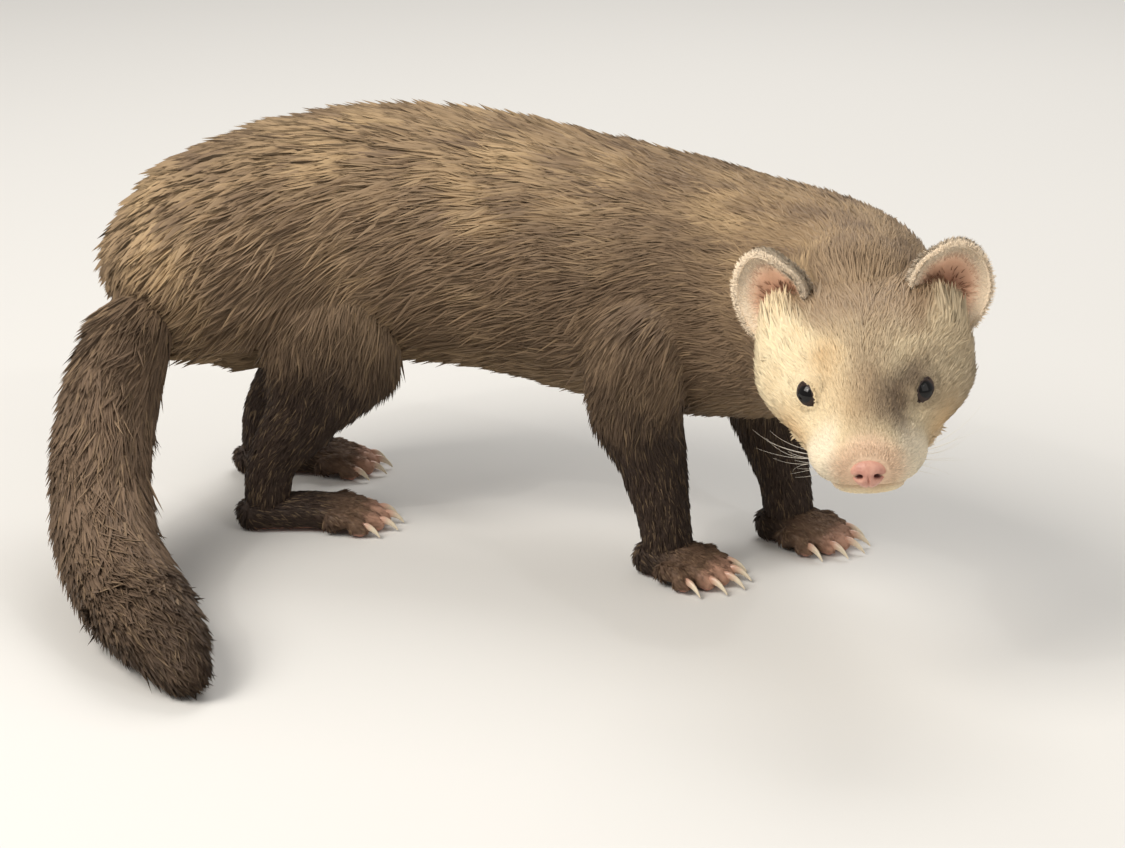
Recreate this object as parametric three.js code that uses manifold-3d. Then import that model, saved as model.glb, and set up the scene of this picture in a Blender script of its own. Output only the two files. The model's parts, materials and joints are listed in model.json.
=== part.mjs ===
// A life-size ferret, standing with its body bent in a gentle C, its head turned to its right and lowered,
// and its tail laid round on the floor. Millimetres, +Z up, floor at z = 0, the chest facing +X.
import * as THREE from "three";
import { ParametricGeometry } from "three/addons/geometries/ParametricGeometry.js";
import { mergeVertices } from "three/addons/utils/BufferGeometryUtils.js";
import Module from "manifold-3d";

const wasm = await Module();
wasm.setup();

// Driving dimensions
const GAP = 0.3; // clearance between neighbouring pieces
const TRUNK_DEPTH = 76; // deepest section of the trunk, coat included
const TAIL_THICKNESS = 30; // widest section of the tail, coat included
const EYE_RADIUS = 4.2;
const EAR_WIDTH = 21.5;
const EAR_HEIGHT = 26; // from inside the cheek to the rim
const TOE_LENGTH = 10;
const CLAW_LENGTH = 6;
const TRUNK_LOCK_LENGTH = 38;
const TAIL_LOCK_LENGTH = 34;
const TRUNK_COAT = 12; // depth of the coat over the rump and loin
const TAIL_COAT = 11; // depth of the coat on the tail
const COAT_SHARE = 0.5; // share of the coat that stands over the core as locks
const TRUNK_LOCK_PITCH = 17; // from one lock to the next round the trunk
const HIP_LOCK_PITCH = 19;
const TAIL_LOCK_PITCH = 15.5;
const ROW_PITCH = 1.13; // from one row of locks to the next, in pitches
const LOCK_THICKNESS = 2.4;

// Where the head sits: middle of the head, its turn from +X, how far the nose dips and the left ear rises
const HEAD_PLACE = [143, -62.2, 77.5];
const HEAD_TURN = THREE.MathUtils.degToRad(-61);
const HEAD_DIP = THREE.MathUtils.degToRad(16);
const HEAD_TILT = THREE.MathUtils.degToRad(4);

// Directions of the pelvis and of the chest, which the feet follow
const PELVIS_TURN = THREE.MathUtils.degToRad(36);
const CHEST_TURN = 0;

// Coat and skin colours
const BODY_COAT = { color: 0x9a8467, roughness: 0.9, metalness: 0 };
const PALE_COAT = { color: 0xd8c8a4, roughness: 0.9, metalness: 0 };
const DARK_COAT = { color: 0x54432f, roughness: 0.9, metalness: 0 };
const PAW_SKIN = { color: 0x8c705a, roughness: 0.85, metalness: 0 };
const EAR_SKIN = { color: 0xdcb89c, roughness: 0.7, metalness: 0 };
const NOSE_SKIN = { color: 0xd9a093, roughness: 0.45, metalness: 0 };
const EYE_GLOSS = { color: 0x120c09, roughness: 0.08, metalness: 0 };

const UP = [0, 0, 1];
const point = (x, y, z) => new THREE.Vector3(x, y, z);

// A repeatable draw between low and high.
let seed = 7;
function draw(low, high) {
  seed = (seed * 16807) % 2147483647;
  return low + ((high - low) * seed) / 2147483647;
}

// A closed geometry as a solid: shared corners merged, collapsed faces dropped, faces turned outwards.
function solidOf(geometry, matrix) {
  const bare = new THREE.BufferGeometry();
  bare.setAttribute("position", geometry.getAttribute("position").clone());
  bare.setIndex(geometry.index.clone());
  if (matrix) bare.applyMatrix4(matrix);
  const merged = mergeVertices(bare, 1e-3);
  const faces = [];
  for (let i = 0; i < merged.index.count; i += 3) {
    const [a, b, c] = [0, 1, 2].map((k) => merged.index.getX(i + k));
    if (a !== b && b !== c && c !== a) faces.push(a, b, c);
  }
  const meshOf = (triVerts) =>
    new wasm.Mesh({
      numProp: 3,
      vertProperties: merged.attributes.position.array,
      triVerts: new Uint32Array(triVerts),
    });
  const made = new wasm.Manifold(meshOf(faces));
  return made.volume() > 0 ? made : new wasm.Manifold(meshOf(faces.reverse()));
}

// A solid back as a plain geometry.
function geometryOf(solid) {
  const mesh = solid.getMesh();
  const geometry = new THREE.BufferGeometry();
  const positions = new Float32Array(mesh.numVert * 3);
  for (let i = 0; i < mesh.numVert; i++) {
    positions.set(mesh.vertProperties.subarray(i * mesh.numProp, i * mesh.numProp + 3), i * 3);
  }
  geometry.setAttribute("position", new THREE.BufferAttribute(positions, 3));
  geometry.setIndex(new THREE.BufferAttribute(new Uint32Array(mesh.triVerts), 1));
  return geometry;
}

const joined = (solids) => solids.reduce((all, next) => all.add(next));
const without = (solid, ...cutters) => cutters.reduce((left, cutter) => left.subtract(cutter), solid);
const moved = (solid, matrix) => solidOf(geometryOf(solid), matrix);

// A named node with its own material, from the largest closed surface of a solid.
function node(name, solid, look) {
  const [largest] = solid.decompose().sort((a, b) => b.volume() - a.volume());
  const geometry = geometryOf(largest);
  geometry.computeVertexNormals();
  const made = new THREE.Mesh(geometry, new THREE.MeshStandardMaterial(look));
  made.name = name;
  return made;
}

// A limb is a smooth path with a rounded section at every place on it. A station is [x, y, z, half width,
// rise, drop]; facing is the direction that a section's rise points to. Places are counted in stations, and
// past either end the path runs straight on.
function limb(stations, facing, corner = 2) {
  const last = stations.length - 1;
  const path = new THREE.CatmullRomCurve3(stations.map((s) => point(s[0], s[1], s[2])));
  const sizes = new THREE.CatmullRomCurve3(stations.map((s) => point(s[3], s[4], s[5])));
  const rounded = (value) => Math.sign(value) * Math.abs(value) ** (2 / corner);
  const frame = (place, push = 0) => {
    const t = THREE.MathUtils.clamp(place / last, 0, 1);
    const along = path.getTangent(t);
    const side = point(...facing).cross(along).normalize();
    const rise = along.clone().cross(side);
    const excess = (place / last - t) * path.getLength();
    const centre = path.getPoint(t).addScaledVector(along, push + excess);
    return { centre, side, rise, size: sizes.getPoint(t) };
  };
  // the point of a section at an angle from its side, moved out by grow, with the section scaled
  const rim = ({ centre, side, rise, size }, angle, grow, scale = 1) => {
    const [c, s] = [rounded(Math.cos(angle)), rounded(Math.sin(angle))];
    const tall = s > 0 ? size.y : size.z;
    return centre
      .clone()
      .addScaledVector(side, c * scale * (size.x + grow))
      .addScaledVector(rise, s * scale * (tall + grow));
  };
  const placeAt = (share) => path.getUtoTmapping(share) * last;
  return { last, frame, rim, placeAt, length: path.getLength() };
}

// A closed skin round a stretch of a limb. Each end is flat, or a dome of the given depth; a push moves a
// flat end along the path. grow is one distance, or a function of the place and angle on the limb.
function sweep(body, options) {
  const { from = 0, to = body.last, around = 16, rows = 12, grow = 0, relief = () => 1 } = options;
  const { startDome = 0, endDome = 0, domeRows = 3, startPush = 0, endPush = 0 } = options;
  const growAt = typeof grow === "function" ? grow : () => grow;
  const rings = [];
  const ring = (place, scale, push) => rings.push({ frame: body.frame(place, push), place, scale });
  const dome = (place, depth, way) => {
    const steps = Array.from({ length: domeRows }, (_, k) => (Math.PI / 2) * (1 - k / domeRows));
    if (way > 0) steps.reverse();
    const reach = depth + growAt(place, 0);
    for (const angle of steps) ring(place, Math.cos(angle), way * reach * Math.sin(angle));
  };
  const startGrow = startDome ? 0 : Math.max(0, growAt(from, 0));
  const endGrow = endDome ? 0 : Math.max(0, growAt(to, 0));
  if (startDome) dome(from, startDome, -1);
  else ring(from, 0, startPush - startGrow);
  for (let k = 0; k <= rows; k++) {
    const push = k === 0 ? startPush - startGrow : k === rows ? endPush + endGrow : 0;
    ring(from + ((to - from) * k) / rows, 1, push);
  }
  if (endDome) dome(to, endDome, 1);
  else ring(to, 0, endPush + endGrow);
  const surface = (u, v, target) => {
    const at = rings[Math.round(v * (rings.length - 1))];
    const angle = 2 * Math.PI * (u % 1);
    const scale = Math.max(0, at.scale) * relief(at.place, angle);
    target.copy(body.rim(at.frame, angle, growAt(at.place, angle), scale));
  };
  return solidOf(new ParametricGeometry(surface, around, rings.length - 1));
}

// One lock of hair on a limb: a flat, tapered blade with a low ridge, which bends as it follows the lie.
// Each row is a ring's share of the length, of the half width, and of the rise from the core to the outline.
const LOCK_RINGS = [
  [0, 0.6, -0.5],
  [0.24, 1, 0.46],
  [0.54, 0.88, 0.86],
  [0.8, 0.54, 1],
  [1, 0, 0.93],
];
function lock(body, { root, angle, long, halfWidth, thick, depth, drift, way }, grow = 0) {
  const at = (place, turn, low) => body.rim(body.frame(place), turn, -low);
  const speed = at(root - 0.1, angle, 0).distanceTo(at(root + 0.1, angle, 0)) / 0.2;
  const rings = LOCK_RINGS.map(([share, width, rise], k) => {
    const place = root + (way * share * long) / speed;
    const turn = angle + drift * share;
    const low = (1 - rise) * depth(root, angle) + (k === 0 ? 0 : 0.2);
    const radius = at(place, turn, low).distanceTo(body.frame(place).centre);
    const spread = width ? (width * halfWidth + grow) / Math.max(radius, halfWidth) : 0;
    const edge = low + grow + thick * (k === LOCK_RINGS.length - 1 ? 0.3 : 0.8);
    return [at(place, turn - spread, edge), at(place, turn, low - grow), at(place, turn + spread, edge)];
  });
  const tip = rings.pop()[1];
  const middle = rings[0].reduce((sum, p) => sum.add(p), point(0, 0, 0)).divideScalar(3);
  rings.unshift([middle, middle, middle]);
  rings.push([tip, tip, tip]);
  const surface = (u, v, target) => {
    target.copy(rings[Math.round(v * (rings.length - 1))][Math.round(u * 3) % 3]);
  };
  return solidOf(new ParametricGeometry(surface, 3, rings.length - 1));
}

// Rows of locks round a limb between two places, each row half a lock aside from the last. A lock that would
// meet a neighbouring solid is made shorter, and left out where even a short one would.
function coat(body, { from, to, pitch, keepOff, skip = () => false, way, lie, ...form }) {
  const shareOf = (place) => bisect((share) => body.placeAt(share) - place);
  const [first, final] = [shareOf(from), shareOf(to)];
  const rows = Math.max(1, Math.round((Math.abs(final - first) * body.length) / (pitch * ROW_PITCH)));
  const locks = [];
  for (let row = 0; row < rows; row++) {
    const root = body.placeAt(first + ((final - first) * (row + 0.15)) / rows);
    const { size } = body.frame(root);
    const count = Math.round((Math.PI * (size.x + (size.y + size.z) / 2)) / pitch);
    for (let k = 0; k < count; k++) {
      const angle = (2 * Math.PI * (k + (row % 2) / 2 + draw(-0.08, 0.08))) / count;
      if (skip(root, angle)) continue;
      const halfWidth = (pitch / 2) * draw(0.84, 0.97);
      const drift = lie(angle) + draw(-0.08, 0.08);
      const made = { root, angle, halfWidth, thick: LOCK_THICKNESS, way, drift, ...form };
      const long = form.long * draw(0.88, 1.08);
      const clear = [1, 0.75, 0.55].find((share) => {
        const fat = lock(body, { ...made, long: long * share }, GAP + 0.1);
        return keepOff.every((solid) => fat.intersect(solid).isEmpty());
      });
      if (clear) locks.push(lock(body, { ...made, long: long * clear }));
    }
  }
  return locks;
}

// The share between 0 and 1 where a rising function crosses zero.
function bisect(rising) {
  let [low, high] = [0, 1];
  for (let step = 0; step < 30; step++) {
    const middle = (low + high) / 2;
    if (rising(middle) > 0) high = middle;
    else low = middle;
  }
  return (low + high) / 2;
}

// Everything above the floor
const ROOM = solidOf(new THREE.BoxGeometry(2000, 2000, 1000).translate(0, 0, 500));

// Head, in its own frame: x forward to the nose, y to the animal's left, z up.
// Outline stations from the back of the skull to the muzzle: x, half width, top and bottom.
const SKULL_OUTLINE = [
  [-35, 21, 15, -15],
  [-27, 25.5, 18.5, -17.5],
  [-16, 28.6, 19.5, -18],
  [-5, 27.6, 18.5, -17],
  [4, 25, 16.1, -15.2],
  [12, 21, 12, -13],
  [19, 17.6, 7.9, -11.8],
  [25, 15, 4.8, -11],
  [29, 12.6, 2.6, -10.4],
];
const JAW_OUTLINE = [
  [-12, 20, -8, -19.5],
  [0, 18.5, -8, -19],
  [10, 15.8, -7.5, -17.6],
  [18, 12.8, -7.5, -16.2],
  [26, 9.2, -7.8, -14.8],
];
const level = (outline) =>
  outline.map(([x, wide, top, bottom]) => {
    const middle = (top + bottom) / 2;
    return [x, 0, middle, wide, top - middle, middle - bottom];
  });
const SKULL = limb(level(SKULL_OUTLINE), UP, 2.15);
const JAW = limb(level(JAW_OUTLINE), UP, 2.3);
const skull = (grow = 0) =>
  sweep(SKULL, { around: 26, rows: 14, grow, startDome: 8, endDome: 4, domeRows: 2, relief: faceRelief });
const jaw = (grow = 0) => sweep(JAW, { around: 14, rows: 5, grow, startDome: 6, endDome: 3, domeRows: 2 });

// The face's relief: a shallow stop between the eyes, hollows below them and full whisker pads.
function faceRelief(place, angle) {
  const near = (centre, spread) => Math.exp(-(((place - centre) / spread) ** 2));
  const top = Math.max(0, Math.sin(angle)) ** 3;
  const side = Math.cos(angle) ** 2;
  const low = Math.max(0, -Math.sin(angle + 0.25 * Math.cos(angle)));
  return 1 - 0.05 * near(5.8, 0.8) * top - 0.02 * near(5.6, 0.6) * side + 0.05 * near(7.2, 0.8) * low * side;
}

// Eyes and lids, in the head's frame
const EYE_PLACE = [11.6, 12.9, 5.2];
const EYE_LOOK = [0.66, 0.7, 0.27];
const LID_THICKNESS = 0.9;
const LID_OPENING = [3.3, 3.4]; // half sizes of the gap between the lids, across and upright
const eyeBall = (grow = 0) => new THREE.SphereGeometry(EYE_RADIUS + grow, 12, 8);
const handed = ([x, y, z], side) => point(x, side * y, z);
function eyeFrame(side) {
  const turn = new THREE.Quaternion().setFromUnitVectors(point(0, 0, 1), handed(EYE_LOOK, side).normalize());
  return new THREE.Matrix4().compose(handed(EYE_PLACE, side), turn, point(1, 1, 1));
}
function lidOpening(side) {
  const flare = new THREE.CylinderGeometry(1.1, 0.95, 8, 12).rotateX(Math.PI / 2);
  flare.scale(LID_OPENING[0], LID_OPENING[1], 1).translate(0, 0, EYE_RADIUS);
  return solidOf(flare, eyeFrame(side));
}

// The mouth: a narrow groove from under the nose back along each lip.
const MOUTH_LINE = [
  [32, 0.4, -9.6],
  [30.6, 5.4, -10.2],
  [26.8, 11.4, -10.8],
  [20, 15.6, -11],
  [12, 19.6, -10.2],
  [5, 22.8, -8.4],
];
const MOUTH_WIDTH = 0.5;
const MOUTH_DEPTH = 1.7;
function mouthGroove(side) {
  const stations = MOUTH_LINE.map(([x, y, z]) => [x, side * y, z, MOUTH_DEPTH, MOUTH_WIDTH, MOUTH_WIDTH]);
  return sweep(limb(stations, UP), { around: 4, rows: 8 });
}

// The nose: a pad, narrower below and flatter above, with a centre groove and two nostrils.
const NOSE_PLACE = [32, 0, -4.6];
const NOSE_HALF = [4.2, 5, 4.1];
function nosePad(grow = 0) {
  const pad = new THREE.SphereGeometry(1, 12, 9);
  const places = pad.getAttribute("position");
  for (let i = 0; i < places.count; i++) {
    const [y, z] = [places.getY(i), places.getZ(i)];
    places.setY(i, y * (0.88 + 0.16 * z));
    places.setZ(i, z > 0 ? z * 0.9 : z);
  }
  pad.scale(...NOSE_HALF.map((half) => half + grow)).translate(...NOSE_PLACE);
  return solidOf(pad);
}
function nostril(side) {
  const hole = new THREE.SphereGeometry(1, 8, 5).scale(1.9, 1.3, 1.1);
  hole.rotateZ(side * 0.5).rotateX(side * -0.35);
  hole.translate(NOSE_PLACE[0] + 3.5, side * 2.6, NOSE_PLACE[2] + 0.1);
  const slit = new THREE.BoxGeometry(2.4, 2.4, 0.6).rotateX(side * 0.4);
  slit.translate(NOSE_PLACE[0] + 2.6, side * 4.3, NOSE_PLACE[2] - 0.5);
  return solidOf(hole).add(solidOf(slit));
}
function philtrum() {
  const groove = new THREE.BoxGeometry(2, 0.6, 5).rotateY(-0.25);
  return solidOf(groove.translate(NOSE_PLACE[0] + 4.1, 0, NOSE_PLACE[2] - 3));
}

// Ears: round cups, open forwards and outwards.
const EAR_PLACE = [-17, 22, 15];
const EAR_DEPTH = 7;
const EAR_WALL = 1.5;
const EAR_TURN = 0.36; // how far each cup turns outwards
const EAR_LEAN = 0.34; // how far each ear leans outwards
const EAR_PITCH = -0.1; // how far each ear leans back
function earFrame(side) {
  const turn = new THREE.Quaternion();
  turn.setFromEuler(new THREE.Euler(-side * EAR_LEAN, EAR_PITCH, side * EAR_TURN, "ZYX"));
  return new THREE.Matrix4().compose(handed(EAR_PLACE, side), turn, point(1, 1, 1));
}
function ear(side, skullGrown) {
  const [wide, high] = [EAR_WIDTH / 2, EAR_HEIGHT / 2];
  const shell = new THREE.SphereGeometry(1, 14, 10).scale(EAR_DEPTH, wide, high);
  const hollow = new THREE.SphereGeometry(1, 12, 8).scale(EAR_DEPTH, wide - EAR_WALL, high - EAR_WALL);
  hollow.translate(EAR_WALL * 2.2, 0, 0);
  const front = new THREE.BoxGeometry(40, 60, 60).translate(20 + 1.6, 0, 0);
  const cup = without(solidOf(shell), solidOf(hollow), solidOf(front));
  return without(moved(cup, earFrame(side)), skullGrown);
}

// The head's nodes in a group of their own, and with it the solid that cuts the neck.
function headGroup() {
  const group = new THREE.Group();
  group.position.set(...HEAD_PLACE);
  group.rotation.set(HEAD_TILT, HEAD_DIP, HEAD_TURN, "ZYX");
  const skullGrown = skull(GAP);
  const lids = [1, -1].map((side) => solidOf(eyeBall(LID_THICKNESS), eyeFrame(side)));
  const sockets = [1, -1].map((side) => solidOf(eyeBall(GAP), eyeFrame(side)).add(lidOpening(side)));
  const face = joined([skull(), jaw(), ...lids]);
  const head = without(face, ...sockets, mouthGroove(1), mouthGroove(-1), nosePad(GAP));
  const nose = without(nosePad(), nostril(1), nostril(-1), philtrum());
  group.add(node("head", head, PALE_COAT), node("nose", nose, NOSE_SKIN));
  for (const [name, side] of [["left", 1], ["right", -1]]) {
    const eye = node("eye_" + name, solidOf(eyeBall()), EYE_GLOSS);
    eye.applyMatrix4(eyeFrame(side));
    group.add(eye, node("ear_" + name, ear(side, skullGrown), EAR_SKIN));
  }
  group.updateMatrixWorld(true);
  return { group, cutter: moved(skullGrown.add(jaw(GAP)), group.matrixWorld) };
}

// Trunk and neck: stations from the tail root to the nape, out to the coat's tips.
const DEEP = TRUNK_DEPTH / 2;
const SPINE = limb(
  [
    [-88, -66, 66, 0.24 * DEEP, 0.26 * DEEP, 0.26 * DEEP],
    [-84, -57, 70, 0.62 * DEEP, 0.68 * DEEP, 0.68 * DEEP],
    [-74, -41, 76, 0.87 * DEEP, 0.9 * DEEP, 0.88 * DEEP],
    [-56, -22, 81, 0.97 * DEEP, 0.98 * DEEP, 0.98 * DEEP],
    [-31, -8, 83, 0.94 * DEEP, DEEP, DEEP],
    [-2, -1, 82, 0.9 * DEEP, DEEP, DEEP],
    [27, 2, 79, 0.9 * DEEP, DEEP, DEEP],
    [55, 2, 77, 0.89 * DEEP, 0.98 * DEEP, 0.98 * DEEP],
    [80, -3, 78, 0.82 * DEEP, 0.9 * DEEP, 0.9 * DEEP],
    [102, -12, 80, 0.75 * DEEP, 0.84 * DEEP, 0.8 * DEEP],
    [120, -27, 82, 0.72 * DEEP, 0.79 * DEEP, 0.74 * DEEP],
    [131, -43, 82.5, 0.61 * DEEP, 0.68 * DEEP, 0.6 * DEEP],
    [138, -54, 80.5, 0.46 * DEEP, 0.34 * DEEP, 0.42 * DEEP],
  ],
  UP,
  2.15,
);
const TRUNK = {
  neck: { from: 8.4, to: SPINE.last, rows: 6 },
  chest: { from: 5.6, to: 8.4, rows: 6 },
  loin: { from: 3.6, to: 5.6, rows: 4 },
  hips: { from: 0, to: 3.6, rows: 7, startDome: 6 },
};

// Depth of the locks' layer over the core: full over the rump and loin, and none at the neck and belly,
// where the fur is short.
const TRUNK_LAYER = COAT_SHARE * TRUNK_COAT;
function trunkLayer(place, angle) {
  const forward = THREE.MathUtils.smoothstep(place, 4.8, 8.8);
  const rear = THREE.MathUtils.smoothstep(place, 1, 2);
  const belly = THREE.MathUtils.smoothstep(-Math.sin(angle), 0.72, 0.96) * rear;
  return TRUNK_LAYER * (1 - forward) * (1 - belly);
}
const SHORT_LAYER = 2.2; // a layer thinner than this has no locks
function trunkStretch(name, grow = 0) {
  const { from, to, startDome = 0, rows } = TRUNK[name];
  const apart = grow ? 0 : GAP / 2;
  const ends = { startDome, startPush: startDome ? 0 : apart, endPush: to < SPINE.last ? -apart : 0 };
  const growAt = (place, angle) => grow - trunkLayer(place, angle);
  return sweep(SPINE, { from, to, rows, around: 20, grow: growAt, ...ends });
}

// Tail, from its root on the rump to the tips of the last hairs
const THICK = TAIL_THICKNESS / 2;
const TAIL = limb(
  [
    [-84, -60, 66.5, 0.7 * THICK, 0.7 * THICK, 0.7 * THICK],
    [-83, -72, 61, 0.86 * THICK, 0.86 * THICK, 0.86 * THICK],
    [-79, -87, 50, 0.98 * THICK, 0.98 * THICK, 0.98 * THICK],
    [-70, -104, 36.5, THICK, THICK, THICK],
    [-57, -120, 24, THICK, THICK, THICK],
    [-41, -134, 16.5, THICK, THICK, THICK],
    [-24, -146, 14, 0.95 * THICK, 0.95 * THICK, 0.98 * THICK],
    [-9, -155.5, 12, 0.82 * THICK, 0.8 * THICK, 0.82 * THICK],
    [4, -162.5, 8.6, 0.54 * THICK, 0.52 * THICK, 0.58 * THICK],
    [13, -166.5, 5.4, 0.2 * THICK, 0.2 * THICK, 0.2 * THICK],
  ],
  [0.35, 0.2, 1],
);
const TAIL_CORE_END = 8;
const TAIL_STRETCHES = [
  ["tail_base", 0, 3],
  ["tail_middle", 3, 5.6],
  ["tail_tip", 5.6, TAIL_CORE_END],
];
const tailLayer = (place) => COAT_SHARE * TAIL_COAT * Math.min(1, TAIL.frame(place).size.x / THICK);

// Legs. Each runs from inside the trunk down to the wrist or heel: x forward and y outwards from the hip or
// shoulder, z above the floor, then half width, front and back of the section.
const FORELEG = [
  [0, -12, 84, 8, 9, 9],
  [-3, 1, 70, 14, 17, 17],
  [-8, 1.5, 50, 12.4, 15, 15.5],
  [-5, 0, 33, 9.6, 10.6, 10.6],
  [-1, 0.5, 19, 8, 8.4, 8.4],
  [1, 0.5, 8, 7.6, 7.8, 7.8],
];
const HINDLEG = [
  [4, -16, 92, 8, 12, 13],
  [5, -4, 75, 13, 21, 23],
  [5, 0, 55, 13, 21, 21],
  [-4, 0, 35, 9.6, 12.5, 11.5],
  [-13, 0, 20, 7.6, 8.2, 8],
  [-15, 0, 8, 7.2, 7.4, 7.2],
];
const LEG_SPLIT = 2.3;
const LEG_KINDS = {
  fore: { shape: FORELEG, names: ["upper_arm", "forearm", "forepaw"], pawAhead: 3 },
  hind: { shape: HINDLEG, names: ["thigh", "shank", "hindpaw"], pawAhead: 12 },
};
const LEGS = [
  { kind: "fore", side: 1, place: [76, 21], turn: CHEST_TURN },
  { kind: "fore", side: -1, place: [62, -22], turn: CHEST_TURN },
  { kind: "hind", side: 1, place: [-78, -1], turn: PELVIS_TURN },
  { kind: "hind", side: -1, place: [-44, -42], turn: PELVIS_TURN },
];

// Paws, in a frame with x forward and z up from the floor
const PAWS = {
  fore: { heel: -8, ball: 9, wide: 8.8, tall: 9, spread: 0.17, toe: TOE_LENGTH, claw: CLAW_LENGTH },
  hind: { heel: -16, ball: 15, wide: 9, tall: 8.5, spread: 0.18, toe: TOE_LENGTH + 1, claw: CLAW_LENGTH - 1 },
};
const TOES = 5;
const TOE_RADIUS = 2.6;
function palm({ heel, ball, wide, tall }, grow = 0) {
  const middle = (heel + ball) / 2;
  const stations = [
    [heel, 0, tall * 0.62, wide * 0.72, tall * 0.5, tall * 0.75],
    [middle, 0, tall * 0.66, wide * 0.84, tall * 0.52, tall * 0.75],
    [ball - 3, 0, tall * 0.55, wide, tall * 0.42, tall * 0.66],
    [ball + 2, 0, tall * 0.42, wide * 0.88, tall * 0.3, tall * 0.5],
  ];
  return sweep(limb(stations, UP), { around: 9, rows: 3, startDome: 5, endDome: 3, domeRows: 1, grow });
}
function toe(paw, index) {
  const aside = index - (TOES - 1) / 2;
  const angle = aside * paw.spread;
  const long = paw.toe * (1 - 0.05 * aside * aside);
  const root = point(paw.ball - 5 - 0.9 * aside * aside, aside * paw.wide * 0.43, 0);
  const ahead = point(Math.cos(angle), Math.sin(angle), 0);
  const r = TOE_RADIUS;
  const bone = (share, z, half, low) => {
    const at = root.clone().addScaledVector(ahead, long * share);
    return [at.x, at.y, z, half, half * 0.95, low];
  };
  const knuckle = bone(0.85, 3.3, r * 0.96, r * 1.2);
  const bones = [bone(0, 4.4, r, r), bone(0.5, 4.9, r, r), knuckle, bone(1.1, 2.4, r * 0.8, r)];
  const hook = (share, z, half) => {
    const at = root.clone().addScaledVector(ahead, long * 1.1 + r * 0.2 + paw.claw * share);
    return [at.x, at.y, z, half * 0.75, half, half];
  };
  const claw = [hook(-0.1, 3.2, 1.25), hook(0.4, 3.2, 1.05), hook(0.8, 1.8, 0.6), hook(1, 0.7, 0.3)];
  const finger = sweep(limb(bones, UP), { around: 5, rows: 3, endDome: r * 0.8, domeRows: 1 });
  return finger.add(sweep(limb(claw, UP), { around: 4, rows: 2 }));
}
function paw(kind) {
  const toes = Array.from({ length: TOES }, (_, index) => toe(PAWS[kind], index));
  return joined([palm(PAWS[kind]), ...toes]).intersect(ROOM);
}

// The nodes of one leg: upper and lower length, and the paw, which carries the claws.
function legNodes(leg, trunkCutter) {
  const { shape, names, pawAhead } = LEG_KINDS[leg.kind];
  const [c, s] = [Math.cos(leg.turn), Math.sin(leg.turn)];
  const ahead = point(c, s, 0);
  const out = point(-s, c, 0).multiplyScalar(leg.side);
  const body = limb(
    shape.map(([x, y, z, ...half]) => {
      const at = point(...leg.place, z).addScaledVector(ahead, x).addScaledVector(out, y);
      return [at.x, at.y, at.z, ...half];
    }),
    ahead.toArray(),
  );
  const ankle = body.frame(body.last).centre.addScaledVector(ahead, pawAhead);
  const group = new THREE.Group();
  group.position.set(ankle.x, ankle.y, 0);
  group.rotation.z = leg.turn;
  group.updateMatrixWorld(true);
  const palmGrown = moved(palm(PAWS[leg.kind], GAP), group.matrixWorld);
  const upper = sweep(body, { to: LEG_SPLIT, around: 12, rows: 4, endPush: -GAP / 2 });
  const lower = sweep(body, { from: LEG_SPLIT, around: 12, rows: 4, startPush: GAP / 2 });
  const [upperName, lowerName, pawName] = names.map((name) => name + (leg.side > 0 ? "_left" : "_right"));
  group.add(node(pawName, paw(leg.kind), PAW_SKIN));
  const lengths = [without(upper, trunkCutter), without(lower, palmGrown, trunkCutter)];
  return {
    nodes: [group, node(upperName, lengths[0], DARK_COAT), node(lowerName, lengths[1], DARK_COAT)],
    solids: lengths,
  };
}

const ferret = new THREE.Group();
const head = headGroup();
ferret.add(head.group);

const trunkCutter = joined(Object.keys(TRUNK).map((name) => trunkStretch(name, GAP)));
const legs = LEGS.map((leg) => legNodes(leg, trunkCutter));
for (const leg of legs) ferret.add(...leg.nodes);
const limbs = legs.flatMap((leg) => leg.solids);

// Tail: each length keeps off the one before it and off the next one's core.
const tailCores = TAIL_STRETCHES.map(([, from, to]) => {
  const ends = to < TAIL_CORE_END ? { endPush: -GAP / 2 } : { endDome: 5, domeRows: 2 };
  ends.startPush = from > 0 ? GAP / 2 : 0;
  const grow = (place) => -tailLayer(place);
  return without(sweep(TAIL, { from, to, around: 12, rows: 4, grow, ...ends }), trunkCutter);
});
const tailSolids = [];
TAIL_STRETCHES.forEach(([name, from, to], index) => {
  const locks = coat(TAIL, {
    from: Math.max(from + 0.08, 0.7),
    to: Math.min(to, TAIL_CORE_END - 0.4),
    pitch: TAIL_LOCK_PITCH,
    long: TAIL_LOCK_LENGTH,
    depth: tailLayer,
    way: 1,
    lie: () => 0,
    keepOff: [trunkCutter, ...limbs, ...tailSolids, ...tailCores.slice(index + 1)],
  });
  const solid = joined([tailCores[index], ...locks]).intersect(ROOM);
  tailSolids.push(solid);
  ferret.add(node(name, solid, DARK_COAT));
});

// Trunk: from the neck back to the hips, with the hair lying towards the tail and drooping down the flanks.
const trunkSolids = [];
const names = Object.keys(TRUNK);
names.forEach((name, index) => {
  const { from, to } = TRUNK[name];
  const core = without(trunkStretch(name), head.cutter);
  const following = names.slice(index + 1).map((next) => trunkStretch(next));
  const locks = coat(SPINE, {
    from: to - 0.06,
    to: Math.max(from, 0.5),
    pitch: name === "hips" ? HIP_LOCK_PITCH : TRUNK_LOCK_PITCH,
    long: TRUNK_LOCK_LENGTH,
    depth: trunkLayer,
    way: -1,
    lie: (angle) => -0.25 * Math.cos(angle),
    keepOff: [...trunkSolids, ...following, ...limbs, ...tailSolids, head.cutter],
    skip: (place, angle) => trunkLayer(place, angle) < SHORT_LAYER,
  });
  const solid = locks.length ? joined([core, ...locks]) : core;
  trunkSolids.push(solid);
  ferret.add(node(name, solid, BODY_COAT));
});

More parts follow.
